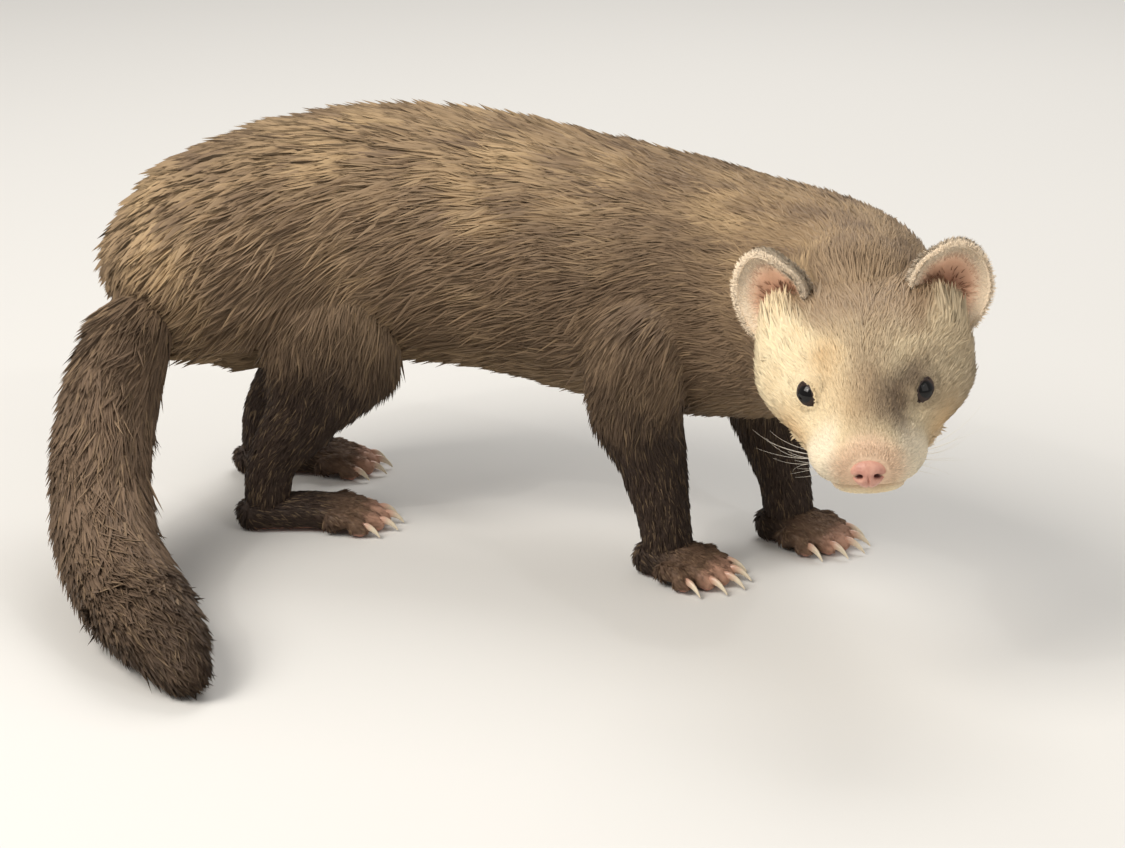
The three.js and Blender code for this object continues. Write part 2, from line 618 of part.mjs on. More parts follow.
// The origin is on the floor, under the middle of the whole animal.
const extent = new THREE.Box3().setFromObject(ferret, true);
ferret.position.set(-(extent.min.x + extent.max.x) / 2, -(extent.min.y + extent.max.y) / 2, -extent.min.z);

export default ferret;
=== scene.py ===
"""A life-size ferret: it stands bent in a gentle C, head turned to its right, tail laid round on the floor.

Lengths are millimetres in the part's design frame, chest facing +X and floor at z = 0. put() moves them to
the frame's place and scales them to metres when a mesh is made.
"""
import json

import bpy
import numpy as np
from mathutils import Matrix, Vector

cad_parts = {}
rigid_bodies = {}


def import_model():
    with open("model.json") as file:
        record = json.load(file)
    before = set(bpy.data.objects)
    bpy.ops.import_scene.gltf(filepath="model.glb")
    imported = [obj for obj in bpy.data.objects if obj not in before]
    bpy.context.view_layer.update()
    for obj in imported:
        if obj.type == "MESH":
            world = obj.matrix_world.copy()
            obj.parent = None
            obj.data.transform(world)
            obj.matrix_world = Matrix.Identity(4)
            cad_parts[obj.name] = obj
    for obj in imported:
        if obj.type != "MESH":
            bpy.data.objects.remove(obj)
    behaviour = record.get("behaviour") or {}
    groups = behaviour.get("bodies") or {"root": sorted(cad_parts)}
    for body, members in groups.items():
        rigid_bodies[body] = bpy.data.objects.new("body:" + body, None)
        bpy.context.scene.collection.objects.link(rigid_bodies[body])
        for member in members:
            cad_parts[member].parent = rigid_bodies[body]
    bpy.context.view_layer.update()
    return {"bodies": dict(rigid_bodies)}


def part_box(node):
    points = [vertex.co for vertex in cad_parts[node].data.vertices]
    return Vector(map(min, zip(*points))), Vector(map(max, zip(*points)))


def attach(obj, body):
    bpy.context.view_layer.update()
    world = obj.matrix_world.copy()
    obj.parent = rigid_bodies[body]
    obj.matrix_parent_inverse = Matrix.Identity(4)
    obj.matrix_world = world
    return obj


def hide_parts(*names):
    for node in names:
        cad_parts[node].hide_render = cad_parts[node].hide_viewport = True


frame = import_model()

MM = 0.001
rng = np.random.default_rng(41)

# Head: its middle, then how far the left ear rises, the nose dips and the head turns from +X
HEAD_PLACE = np.array([143, -62.2, 77.5])
HEAD_ANGLES = np.radians([4, 16, -61])
# Outline of skull and jaw, coat included: x forward, half width, top, bottom
SKULL_OUTLINE = np.array([
    [-35, 21, 15, -15], [-27, 25.5, 18.5, -17.5], [-16, 28.6, 19.5, -18], [-5, 27.6, 18.5, -17],
    [4, 25, 16.1, -15.2], [12, 21, 12, -13], [19, 17.6, 7.9, -11.8], [25, 15, 4.8, -11],
    [29, 12.6, 2.6, -10.4],
])
JAW_OUTLINE = np.array([
    [-12, 20, -8, -19.5], [0, 18.5, -8, -19], [10, 15.8, -7.5, -17.6], [18, 12.8, -7.5, -16.2],
    [26, 9.2, -7.8, -14.8],
])
# Roundness of their sections, where 2 is an ellipse, and how sharply the two meet
SKULL_CORNER, JAW_CORNER, JAW_CREASE = 2.15, 2.3, 7
# The mouth line: x, height
MOUTH_LINE = np.array([[5, -8.4], [12, -10.2], [20, -11], [26.8, -10.8], [30.6, -10.2], [33, -9.6]])
EYE_RADIUS = 4.2
EYE_PLACE = np.array([11.6, 12.6, 5.2])
EYE_LOOK = np.array([0.7, 0.53, 0.47])
EYE_SLANT = np.array([0.77, -0.45, -0.64])  # from the outer corner to the inner one
EYE_OPENING = (3.35, 2.1)  # half length and half height
EYE_ALMOND = 1.6  # 2 is an ellipse, and less is more pointed
NOSE_PLACE = np.array([31.3, 0, -4.8])
NOSE_HALF = np.array([3.5, 4.9, 4.1])
# Ears, the left one under 1 and the right one under -1: the left one faces ahead, the right one aside
EAR_PLACE = {1: np.array([-17, 21.7, 16]), -1: np.array([-17, -22.3, 14.8])}
EAR_ANGLES = {1: (-0.34, -0.1, 0.12), -1: (0.36, -0.1, -0.56)}
EAR_NARROW = {1: 0.17, -1: 0.42}  # how much the inner half is drawn in
EAR_SIZE = (7, 9.9, 13.4)  # depth of the back, half width, half height

# Trunk and neck from the tail root to the nape: x, y, z, then half width, rise and drop as shares of a size
TRUNK_SIZE = 38
SPINE_STATIONS = [
    [-88, -66, 66, 0.24, 0.26, 0.26], [-84, -57, 70, 0.62, 0.68, 0.68], [-74, -41, 76, 0.87, 0.9, 0.88],
    [-56, -22, 81, 0.97, 0.98, 0.98], [-31, -8, 83, 0.94, 1, 1], [-2, -1, 82, 0.9, 1, 1],
    [27, 2, 79, 0.9, 1, 1], [55, 2, 77, 0.89, 0.98, 0.98], [80, -3, 78, 0.82, 0.9, 0.9],
    [102, -12, 80, 0.75, 0.84, 0.8], [120, -27, 82, 0.72, 0.79, 0.74], [131, -43, 82.5, 0.61, 0.68, 0.6],
    [138, -54, 80.5, 0.46, 0.34, 0.42],
]
TAIL_SIZE = 15
TAIL_STATIONS = [
    [-84, -60, 66.5, 0.7, 0.7, 0.7], [-83, -72, 61, 0.86, 0.86, 0.86], [-79, -87, 50, 0.98, 0.98, 0.98],
    [-70, -104, 36.5, 1, 1, 1], [-57, -120, 24, 1, 1, 1], [-41, -134, 16.5, 1, 1, 1],
    [-24, -146, 14, 0.95, 0.95, 0.98], [-9, -155.5, 12, 0.82, 0.8, 0.82],
    [4, -162.5, 8.6, 0.54, 0.52, 0.58], [13, -166.5, 5.4, 0.2, 0.2, 0.2],
]
# Legs: x forward and y outwards from the hip or shoulder, z above the floor, half width, front, back
FORELEG = np.array([
    [0, -12, 84, 8, 9, 9], [-3, 1, 70, 14, 17, 17], [-8, 1.5, 50, 12.4, 15, 15.5],
    [-5, 0, 33, 9.6, 10.6, 10.6], [-1, 0.5, 19, 8, 8.4, 8.4], [1, 0.5, 8, 7.6, 7.8, 7.8],
])
HINDLEG = np.array([
    [4, -16, 92, 8, 12, 13], [5, -4, 75, 13, 21, 23], [5, 0, 55, 13, 21, 21], [-4, 0, 35, 9.6, 12.5, 11.5],
    [-13, 0, 20, 7.6, 8.2, 8], [-15, 0, 8, 7.2, 7.4, 7.2],
])
PELVIS_TURN = np.radians(36)
# Each leg's hip or shoulder on the floor plan, its turn, and how far its paw lies ahead of its ankle
LEGS = {
    "fore_left": dict(table=FORELEG, side=1, hip=(76, 21), turn=0.0, ahead=3),
    "fore_right": dict(table=FORELEG, side=-1, hip=(62, -22), turn=0.0, ahead=3),
    "hind_left": dict(table=HINDLEG, side=1, hip=(-78, -1), turn=PELVIS_TURN, ahead=12),
    "hind_right": dict(table=HINDLEG, side=-1, hip=(-44, -42), turn=PELVIS_TURN, ahead=12),
}
LEG_NODES = {"fore": ("upper_arm_", "forearm_"), "hind": ("thigh_", "shank_")}
# Paws: heel and ball along the sole, half width, height, turn between toes, length of toe and claw
PAWS = {
    "fore": dict(heel=-8, ball=9, wide=8.8, tall=9, spread=0.17, toe=10, claw=6),
    "hind": dict(heel=-16, ball=15, wide=9, tall=8.5, spread=0.18, toe=11, claw=5),
}
TOES = 5
TOE_RADIUS = 2.6
# Along a toe: share of its length, height, then half width and drop as shares of its radius
TOE_STEPS = [
    (0, 4.4, 1, 1), (0.5, 4.9, 1, 1), (0.72, 4.3, 0.86, 0.95), (0.92, 3.3, 1.02, 1.2),
    (1.12, 2.3, 0.8, 0.95),
]
# Along a claw: share of its length, height, radius
CLAW_STEPS = [(-0.25, 3.3, 1.1), (0.15, 3.5, 1.15), (0.5, 3.0, 0.9), (0.8, 1.9, 0.55), (1.0, 0.75, 0.2)]


# Small numpy helpers
def smoothstep(x, low, high):
    """0 below low, 1 above high, an S between."""
    t = np.clip((x - low) / (high - low), 0, 1)
    return t * t * (3 - 2 * t)


def unit(v):
    """Vectors divided by their length."""
    return v / np.maximum(np.linalg.norm(v, axis=-1, keepdims=True), 1e-9)


def bell(x, centre, spread):
    """A bell curve of height 1."""
    return np.exp(-(((x - centre) / spread) ** 2))


def dot(a, b):
    """The dot product of vectors, row by row."""
    return np.sum(a * b, axis=-1)


def spot(a, b):
    """A blot of height 1 where a and b, shares of its reach in two directions, are both 0."""
    return np.exp(-(a**2) - b**2)


def circle(count):
    """Angles once round."""
    return np.linspace(0, 2 * np.pi, count, endpoint=False)


def crossed(rows, columns):
    """Every row's value with every column's, as two grids."""
    return np.meshgrid(rows, columns, indexing="ij")


def heading(turn):
    """The level direction at an angle from +X."""
    return np.array([np.cos(turn), np.sin(turn), 0])


def turned(x, y, z):
    """The rotation about x, then y, then z, as a matrix."""
    (cx, cy, cz), (sx, sy, sz) = np.cos([x, y, z]), np.sin([x, y, z])
    about_x = np.array([[1, 0, 0], [0, cx, -sx], [0, sx, cx]])
    about_y = np.array([[cy, 0, sy], [0, 1, 0], [-sy, 0, cy]])
    about_z = np.array([[cz, -sz, 0], [sz, cz, 0], [0, 0, 1]])
    return about_z @ about_y @ about_x


def through(table, column, x):
    """A smooth curve through a table's column over its first column, with slopes from the neighbours."""
    xs, ys = table[:, 0], table[:, column]
    slopes = np.gradient(ys, xs)
    k = np.clip(np.searchsorted(xs, x) - 1, 0, len(xs) - 2)
    h = xs[k + 1] - xs[k]
    t = np.clip((x - xs[k]) / h, 0, 1)
    start = (2 * t**3 - 3 * t**2 + 1) * ys[k] + (t**3 - 2 * t**2 + t) * h * slopes[k]
    return start + (3 * t**2 - 2 * t**3) * ys[k + 1] + (t**3 - t**2) * h * slopes[k + 1]


def ripple(p, size, seed):
    """A smooth wandering value near -1 to 1 over space: five crossed sine waves about size long."""
    draw = np.random.default_rng(seed)
    ways = unit(draw.normal(size=(5, 3))) * draw.uniform(0.7, 1.5, (5, 1)) * 2 * np.pi / size
    return np.sin(p @ ways.T + draw.uniform(0, 2 * np.pi, 5)).sum(-1) / 2.6


def wander(p, size, seed):
    """A smooth wandering vector over space."""
    return np.stack([ripple(p, size, seed + k) for k in range(3)], -1)


def nearest(points, marks):
    """The number of the mark closest to each point, worked out for some thousand points at a time."""
    half_squares = dot(marks, marks) / 2
    chunks = np.array_split(points, len(points) // 4000 + 1)
    return np.concatenate([np.argmin(half_squares - chunk @ marks.T, axis=1) for chunk in chunks])


def mixed(a, b, share):
    """a where share is 0, b where it is 1; share is one number a row."""
    share = np.asarray(share)[..., None]
    return a * (1 - share) + b * share


HEAD = turned(*HEAD_ANGLES)
from_head = lambda p: p @ HEAD.T + HEAD_PLACE
to_head = lambda p: (p - HEAD_PLACE) @ HEAD


class Path:
    """A smooth curve through stations of any width: centripetal Catmull-Rom, counted in stations."""

    def __init__(self, stations):
        p = np.array(stations, float)
        self.points = np.vstack([2 * p[0] - p[1], p, 2 * p[-1] - p[-2]])
        self.last = len(p) - 1

    def at(self, place):
        """Points of the curve and its slopes at places."""
        place = np.clip(place, 0, self.last)
        k = np.minimum(place.astype(int), self.last - 1)
        t = (place - k)[:, None]
        a, b, c, d = (self.points[k + i] for i in range(4))
        gaps = (np.linalg.norm(q - p, axis=1, keepdims=True) for p, q in ((a, b), (b, c), (c, d)))
        ab, bc, cd = (np.sqrt(gap) + 1e-9 for gap in gaps)
        start = bc * ((b - a) / ab - (c - a) / (ab + bc) + (c - b) / bc)
        end = bc * ((c - b) / bc - (d - b) / (bc + cd) + (d - c) / cd)
        square, cube = 3 * (c - b) - 2 * start - end, 2 * (b - c) + start + end
        return b + t * (start + t * (square + t * cube)), start + t * (2 * square + 3 * t * cube)


class Limb:
    """A path with a rounded section at every place: half width, rise and drop about the facing
    direction."""

    def __init__(self, stations, facing, corner=2.0):
        rows = np.array(stations, float)
        self.path, self.sizes = Path(rows[:, :3]), Path(rows[:, 3:])
        self.facing, self.corner, self.last = np.array(facing, float), corner, len(rows) - 1
        self.places = np.linspace(0, self.last, 181)
        self.marks = self.path.at(self.places)[0]

    def frame(self, place):
        """Centre, direction, side, rise and half sizes at places."""
        centre, slope = self.path.at(place)
        along = unit(slope)
        side = unit(np.cross(self.facing, along))
        return centre, along, side, np.cross(along, side), self.sizes.at(place)[0]

    def rim(self, place, angle, inset):
        """Points at angles round the section, moved in by inset."""
        centre, _, side, rise, size = self.frame(place)
        c, s = (np.sign(f) * np.abs(f) ** (2 / self.corner) for f in (np.cos(angle), np.sin(angle)))
        wide, tall = size[:, 0] - inset, np.where(s > 0, size[:, 1], size[:, 2]) - inset
        return centre + side * (c * wide)[:, None] + rise * (s * tall)[:, None]

    def locate(self, points):
        """Place, angle, and distance from the path as a share of the section, for points in space."""
        place = self.places[nearest(points, self.marks)]
        centre, slope = self.path.at(place)
        place = np.clip(place + dot(points - centre, slope) / dot(slope, slope), 0, self.last)
        centre, along, side, rise, size = self.frame(place)
        away = points - centre
        across, up, ahead = dot(away, side), dot(away, rise), dot(away, along)
        tall = np.where(up > 0, size[:, 1], size[:, 2])
        shares = (np.abs(across / size[:, 0]), np.abs(up / tall), np.abs(ahead / size[:, 0]))
        ratio = sum(share**self.corner for share in shares) ** (1 / self.corner)
        return place, np.arctan2(up / tall, across / size[:, 0]), ratio


def scaled(stations, size):
    """Stations whose last three columns are shares of size."""
    rows = np.array(stations, float)
    rows[:, 3:] *= size
    return rows


def leg_limb(leg):
    """A leg's limb from its table: forward and outward steps turned to the body, heights kept."""
    table, forward = leg["table"], heading(leg["turn"])
    outward = np.array([-forward[1], forward[0], 0]) * leg["side"]
    ahead, aside = table[:, [0]] * forward, table[:, [1]] * outward
    rows = table.copy()
    rows[:, :3] = [*leg["hip"], 0] + ahead + aside + table[:, [2]] * [0, 0, 1]
    return Limb(rows, forward)


SPINE = Limb(scaled(SPINE_STATIONS, TRUNK_SIZE), [0, 0, 1], corner=2.15)
TAIL = Limb(scaled(TAIL_STATIONS, TAIL_SIZE), [0.35, 0.2, 1])
LEG_LIMBS = {name: leg_limb(leg) for name, leg in LEGS.items()}
LIMBS = {"spine": SPINE, "tail": TAIL, **LEG_LIMBS}


# Meshes
def grid_faces(rows, around, closed_rows=False):
    """Quads of a grid that closes round its second direction, and round its first if closed_rows."""
    r = np.arange(rows if closed_rows else rows - 1)[:, None]
    c = np.arange(around)[None, :]
    a, b = r * around + c, r * around + (c + 1) % around
    up = ((r + 1) % rows) * around
    return np.stack([a, b, up + (c + 1) % around, up + c], -1).reshape(-1, 4)


def capped(points):
    """Rows of points as a closed skin: the first and last rows shrink to one point each. Quads, then
    fans."""
    rows, around = points.shape[:2]
    flat = points.reshape(-1, 3)
    ends = np.stack([points[0].mean(0), points[-1].mean(0)])
    c = np.arange(around)
    following = (c + 1) % around
    first, last = np.full(around, len(flat)), np.full(around, len(flat) + 1)
    start = np.stack([following, c, first, first], -1)
    top = (rows - 1) * around
    end = np.stack([top + c, top + following, last, last], -1)
    return np.vstack([flat, ends]), np.vstack([grid_faces(rows, around), start, end])


def together(parts):
    """Several (points, faces) as one."""
    offsets = np.cumsum([0] + [len(points) for points, _ in parts[:-1]])
    faces = np.vstack([faces + offset for (_, faces), offset in zip(parts, offsets)])
    return np.vstack([points for points, _ in parts]), faces


def facing_out(points, faces):
    """Faces turned so that the closed shape's volume is positive."""
    a, b, c, d = (points[faces[:, k]] for k in range(4))
    volume = dot(a, np.cross(b, c)).sum() + dot(a, np.cross(c, d)).sum()
    return faces if volume > 0 else faces[:, ::-1]


def to_frame(points):
    """Design millimetres to the frame's metres."""
    return (points + SHIFT) * MM


def flat(values):
    """An array in the form that mesh data takes."""
    return values.astype(np.float32).ravel()


def raw_mesh(name, points, faces):
    """A mesh object from arrays of points and quads; a quad whose last two corners are one is a
    triangle."""
    triangle = faces[:, 2] == faces[:, 3]
    sizes = np.where(triangle, 3, 4)
    keep = np.ones(faces.shape, bool)
    keep[triangle, 3] = False
    loops = faces[keep]
    mesh = bpy.data.meshes.new(name)
    mesh.vertices.add(len(points))
    mesh.vertices.foreach_set("co", flat(points))
    mesh.loops.add(len(loops))
    mesh.loops.foreach_set("vertex_index", loops.astype(np.int32))
    mesh.polygons.add(len(faces))
    mesh.polygons.foreach_set("loop_start", (np.cumsum(sizes) - sizes).astype(np.int32))
    mesh.polygons.foreach_set("use_smooth", np.ones(len(faces), bool))
    mesh.update(calc_edges=True)
    made = bpy.data.objects.new(name, mesh)
    bpy.context.scene.collection.objects.link(made)
    return made


def put(name, points, faces, material, slot, replaces=(), colour=None, strand=None, uv=None, shading=None):
    """A finished piece from design points: smooth, coloured by attributes, riding on the body. Shading
    gives the normals that light is worked out with."""
    made = raw_mesh(name, to_frame(points), faces)
    mesh = made.data
    for attribute, values in (("coat_colour", colour), ("strand", strand)):
        if values is not None:
            opaque = np.hstack([values, np.ones((len(values), 1))])
            mesh.attributes.new(attribute, "FLOAT_COLOR", "POINT").data.foreach_set("color", flat(opaque))
    if uv is not None:
        corners = np.zeros(len(mesh.loops), np.int32)
        mesh.loops.foreach_get("vertex_index", corners)
        mesh.uv_layers.new(name="OFBake").data.foreach_set("uv", flat(uv[corners]))
    if shading is not None:
        layer = mesh.attributes.new("custom_normal", "FLOAT_VECTOR", "POINT")
        layer.data.foreach_set("vector", flat(shading))
    mesh.materials.append(material)
    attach(made, BODY)
    if replaces:
        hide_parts(*replaces)


def remeshed(points, faces, voxel, smoothing):
    """One closed skin round overlapping closed shapes, by voxel remesh and smoothing: points and quads."""
    blank = raw_mesh("blank", points, faces)
    remesh = blank.modifiers.new("remesh", "REMESH")
    remesh.mode, remesh.voxel_size = "VOXEL", voxel
    soften = blank.modifiers.new("soften", "SMOOTH")
    soften.factor, soften.iterations = 0.5, smoothing
    evaluated = blank.evaluated_get(bpy.context.evaluated_depsgraph_get())
    mesh = bpy.data.meshes.new_from_object(evaluated)
    co = np.zeros(len(mesh.vertices) * 3)
    mesh.vertices.foreach_get("co", co)
    quads = np.zeros(len(mesh.loops), np.int32)
    mesh.loops.foreach_get("vertex_index", quads)
    bpy.data.objects.remove(blank)
    bpy.data.meshes.remove(mesh)
    return co.reshape(-1, 3), quads.reshape(-1, 4)


BODY = next(iter(frame["bodies"]))
eye_boxes = [np.array(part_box("eye_" + side)).mean(0) / MM for side in ("left", "right")]
SHIFT = np.mean(eye_boxes, axis=0) - from_head(EYE_PLACE * [1, 0, 1])


# The skin of trunk, tail and legs
def trunk_depth(place, angle):
    """How deep the skin lies under the outline of the trunk: deepest over loin and hips."""
    forward = smoothstep(place, 4.8, 8.8)
    belly = smoothstep(-np.sin(angle), 0.72, 0.96) * smoothstep(place, 1, 2)
    return 3.4 + 3.2 * (1 - forward) * (1 - 0.7 * belly)


def tail_depth(place, angle):
    """The tail's skin is a slim core."""
    return 0.34 * TAIL.sizes.at(place)[0][:, 0]


def leg_depth(place, angle):
    """The coat thins from shoulder or hip to the paw."""
    return 3.2 - 1.9 * smoothstep(place, 1, 4)


def even(depth):
    """The same depth everywhere, as limb_skin takes it."""
    return lambda place, angle: np.full(place.shape, depth)


def limb_skin(limb, depth, around, rows, start=0.0, end=None, cap=4.0):
    """A limb's section carried along its path, moved in by depth, with a rounded end on each side."""
    end = limb.last if end is None else end
    angles = circle(around)
    place, angle = (values.ravel() for values in crossed(np.linspace(start, end, rows), angles))
    body = limb.rim(place, angle, depth(place, angle)).reshape(rows, around, 3)
    steps = np.linspace(0, np.pi / 2, 5)[1:]
    ends = []
    for at, way in ((start, -1), (end, 1)):
        at = np.full(around, float(at))
        centre, along, *_ = limb.frame(at)
        ring = limb.rim(at, angles, depth(at, angles))
        ends.append([centre + (ring - centre) * np.cos(s) + way * along * cap * np.sin(s) for s in steps])
    return capped(np.concatenate([ends[0][::-1], body, ends[1]]))


def skull_back():
    """The back of the skull, level with the head's skin at the nape and sunk under it ahead, so that the
    neck's skin meets it in a soft hollow."""
    rows = []
    for x, wide, top, bottom in SKULL_OUTLINE[:5]:
        half = (top - bottom) / 2
        rows.append([x, 0, (top + bottom) / 2, wide, half, half])
    sunk = lambda place, angle: 3.2 + 0.35 * place
    points, faces = limb_skin(Limb(rows, [0, 0, 1], SKULL_CORNER), sunk, 72, 40)
    return from_head(points), faces


def trunk_and_limbs():
    """Trunk, tail, legs and the back of the skull joined into one skin."""
    parts = [
        limb_skin(SPINE, trunk_depth, 72, 90, start=0.25, cap=3),
        limb_skin(TAIL, tail_depth, 40, 80, end=8.2, cap=3),
    ]
    parts += [limb_skin(limb, leg_depth, 40, 40) for limb in LEG_LIMBS.values()] + [skull_back()]
    parts = [(points, facing_out(points, faces)) for points, faces in parts]
    return remeshed(*together(parts), voxel=1.35, smoothing=14)


# The head's skin
def section(table, corner, p, depth, cap):
    """Below 1 inside a rounded section that changes along x, with domed ends; cap is how far the front one
    reaches past the table."""
    x = p[..., 0]
    wide, top, bottom = (through(table, k, x) for k in (1, 2, 3))
    past = np.maximum((x - table[-1, 0]) / (cap - 0.8 * depth), 0) + np.maximum((table[0, 0] - x) / 8, 0)
    shrink = np.sqrt(np.maximum(1 - past**2, 1e-4))
    middle, tall = (top + bottom) / 2, (top - bottom) / 2
    across = np.abs(p[..., 1]) / ((wide - depth) * shrink)
    up = np.abs(p[..., 2] - middle) / ((tall - depth) * shrink)
    return across**corner + up**corner + 6 * (past >= 1)


def head_depth(x):
    """How deep the head's skin lies under the outline: least at the muzzle, most behind the ears."""
    return 0.7 + 1.1 * smoothstep(-x, -24, -8) + 1.6 * smoothstep(-x, -6, 20)


def head_value(p):
    """Below 1 inside the head: skull and jaw blended into each other."""
    depth = head_depth(p[..., 0])
    skull = np.minimum(section(SKULL_OUTLINE, SKULL_CORNER, p, depth, 4), 6)
    jaw = np.minimum(section(JAW_OUTLINE, JAW_CORNER, p, depth, 3), 6)
    return -np.log(np.exp(-JAW_CREASE * skull) + np.exp(-JAW_CREASE * jaw)) / JAW_CREASE + 0.02


def crossing(origin, way):
    """How far along each ray the head's surface lies, by halving a reach that passes the head's size."""
    low, high = np.zeros(origin.shape[:-1]), np.full(origin.shape[:-1], 42.0)
    for _ in range(24):
        middle = (low + high) / 2
        inside = head_value(origin + way * middle[..., None]) < 1
        low, high = np.where(inside, middle, low), np.where(inside, high, middle)
    return low


def head_axis(x):
    """Height of the line from which the head's rays start."""
    return 0.5 - 5.5 * smoothstep(x, -4, 22)


def face_relief(p, angle):
    """The face's form over its plain outline: stop, brow, cheek, whisker pads, the hollow under the eye
    and the rise before the ear."""
    x, y, z = p[..., 0], np.abs(p[..., 1]), p[..., 2]
    top = np.maximum(0, np.sin(angle)) ** 3
    stop = -0.55 * bell(x, 11, 6) * top * bell(y, 0, 9)
    brow = 0.5 * bell(x, 7, 4) * bell(y, 14, 4.5) * bell(z, 9.5, 4)
    hollow = -2.3 * bell(x, 19, 6) * bell(z, 0.5, 6.5) * smoothstep(y, 5, 11)
    pad = 0.9 * bell(x, 27, 4.5) * bell(z, -7.2, 3) * smoothstep(y, 2, 7)
    cheek = 0.6 * bell(x, -5, 10) * bell(z, -6, 8)
    ear_front = 1.7 * bell(x, -10, 5.5) * bell(y, 19, 6) * smoothstep(z, 4, 10)
    return stop + brow + hollow + pad + cheek + ear_front


def mouth_height(x):
    """Height of the mouth line at x."""
    return through(MOUTH_LINE, 1, x)


def eye_axes(side):
    """Centre, slant, cross and look directions of an eye, in the head's frame."""
    mirror = np.array([1, side, 1])
    look = unit(EYE_LOOK * mirror)
    slant = EYE_SLANT * mirror
    slant = unit(slant - look * dot(slant, look))
    return EYE_PLACE * mirror, slant, np.cross(look, slant), look


def opening_share(along, across):
    """1 on the edge of the lids' opening: an almond, pointed at both corners."""
    along, across = np.abs(along) / EYE_OPENING[0], np.abs(across) / EYE_OPENING[1]
    return (along**EYE_ALMOND + across**EYE_ALMOND) ** (1 / EYE_ALMOND)


def opening_edge(turn):
    """Steps along the slant and across it from the eye's axis to the opening's edge, at angles round
    it."""
    c, s = np.cos(turn), np.sin(turn)
    reach = 1 / opening_share(c, s)
    return c * reach, s * reach


def head_rays():
    """Rays from a line through the head, square to it, turning to point ahead at the muzzle and back at
    the nape: starts, directions and angles round the head."""
    nape, middle, muzzle = 12, 132, 58
    straight = -34 + 56 * np.linspace(0, 1, middle) ** 0.85
    back = np.linspace(-np.pi / 2, 0, nape + 2)[1:-1]
    ahead = np.linspace(0, np.pi / 2, muzzle + 2)[1:-1]
    start = np.concatenate([np.full(nape, straight[0]), straight, np.full(muzzle, straight[-1])])
    lean, angle = crossed(np.concatenate([back, np.zeros(middle), ahead]), circle(176) + np.pi / 2)
    start = np.broadcast_to(start[:, None], lean.shape)
    origin = np.stack([start, np.zeros_like(start), head_axis(start)], -1)
    way = np.stack([np.sin(lean), np.cos(lean) * np.cos(angle), np.cos(lean) * np.sin(angle)], -1)
    return origin, way, angle


def round_eye(p, side):
    """Skin points settled round an eyeball: sunk behind it inside the lids, close over it at their edge,
    and nowhere beyond them under the ball."""
    centre, slant, cross, look = eye_axes(side)
    away = p - centre
    along, across, out = (away @ v for v in (slant, cross, look))
    share = opening_share(along, across)
    edge = np.minimum(1, 1 / np.maximum(share, 1e-6))
    ball = np.sqrt(np.maximum(EYE_RADIUS**2 - (along**2 + across**2) * edge**2, 0))
    beyond = np.hypot(along, across) * (1 - edge)
    target = ball + 0.1 - 0.35 * beyond - 1.4 * (1 - smoothstep(share, 0.86, 1.0))
    close = (1 - smoothstep(share, 1.0, 2.3)) * (out > -1)
    settled = out + (target - out) * close
    cover = np.sqrt(np.maximum((1.045 * EYE_RADIUS + 0.2) ** 2 - along**2 - across**2, 0))
    lifted = np.where((cover > 0) & (out > -1), np.maximum(settled, cover), settled)
    settled = settled + (lifted - settled) * smoothstep(share, 0.97, 1.06)
    return p + look * (settled - out)[..., None]


def head_skin():
    """The head's surface along its rays, moved by the face's relief, the mouth groove and the eyes."""
    origin, way, angle = head_rays()
    p = origin + way * crossing(origin, way)[..., None]
    x, z = p[..., 0], p[..., 2]
    groove = bell(z, mouth_height(x), 0.5) * smoothstep(x, 3, 8) * (np.sin(angle) < 0.3)
    p = p + way * (face_relief(p, angle) - 1.1 * groove)[..., None]
    for side in (1, -1):
        p = round_eye(p, side)
    return capped(from_head(p))


def lid(side):
    """The lids' edge: a thin tube that lies on the eyeball round the opening, thicker above."""
    centre, slant, cross, look = eye_axes(side)
    steps, around = 120, 12
    turn, angle = crossed(circle(steps), circle(around))
    along, across = opening_edge(turn)
    out = np.sqrt(EYE_RADIUS**2 - along**2 - across**2)
    place = along[..., None] * slant + across[..., None] * cross + out[..., None] * look
    off_ball = unit(place)
    forward = unit(np.roll(place, -1, axis=0) - np.roll(place, 1, axis=0))
    aside = np.cross(off_ball, forward)
    thick = 0.21 + 0.1 * smoothstep(-along, -1, 3)
    ring = off_ball * (thick * np.sin(angle))[..., None] + aside * (1.25 * thick * np.cos(angle))[..., None]
    points = (centre + place + ring).reshape(-1, 3)
    faces = grid_faces(steps, around, closed_rows=True)
    return from_head(points), facing_out(points, faces)


def ball_grid(rows, around):
    """Directions over a ball in rows from the -x pole to the +x pole, without the poles, and each one's
    angle from the -x pole."""
    tip, turn = crossed(np.linspace(0, np.pi, rows + 2)[1:-1], circle(around))
    return np.stack([-np.cos(tip), np.sin(tip) * np.cos(turn), np.sin(tip) * np.sin(turn)], -1), tip


def eye(side):
    """The eyeball with a slightly raised cornea. The last result is how far each point is from the look
    direction, as a share of the half turn."""
    centre, slant, cross, look = eye_axes(side)
    way, tip = ball_grid(46, 64)
    off = np.pi - tip
    radius = EYE_RADIUS * (1 + 0.045 * np.exp(-((off / 0.62) ** 4)))
    p = way * radius[..., None] @ np.stack([look, slant, cross])
    points, faces = capped(from_head(centre + p))
    return points, faces, np.append(off.ravel() / np.pi, [1, 0])


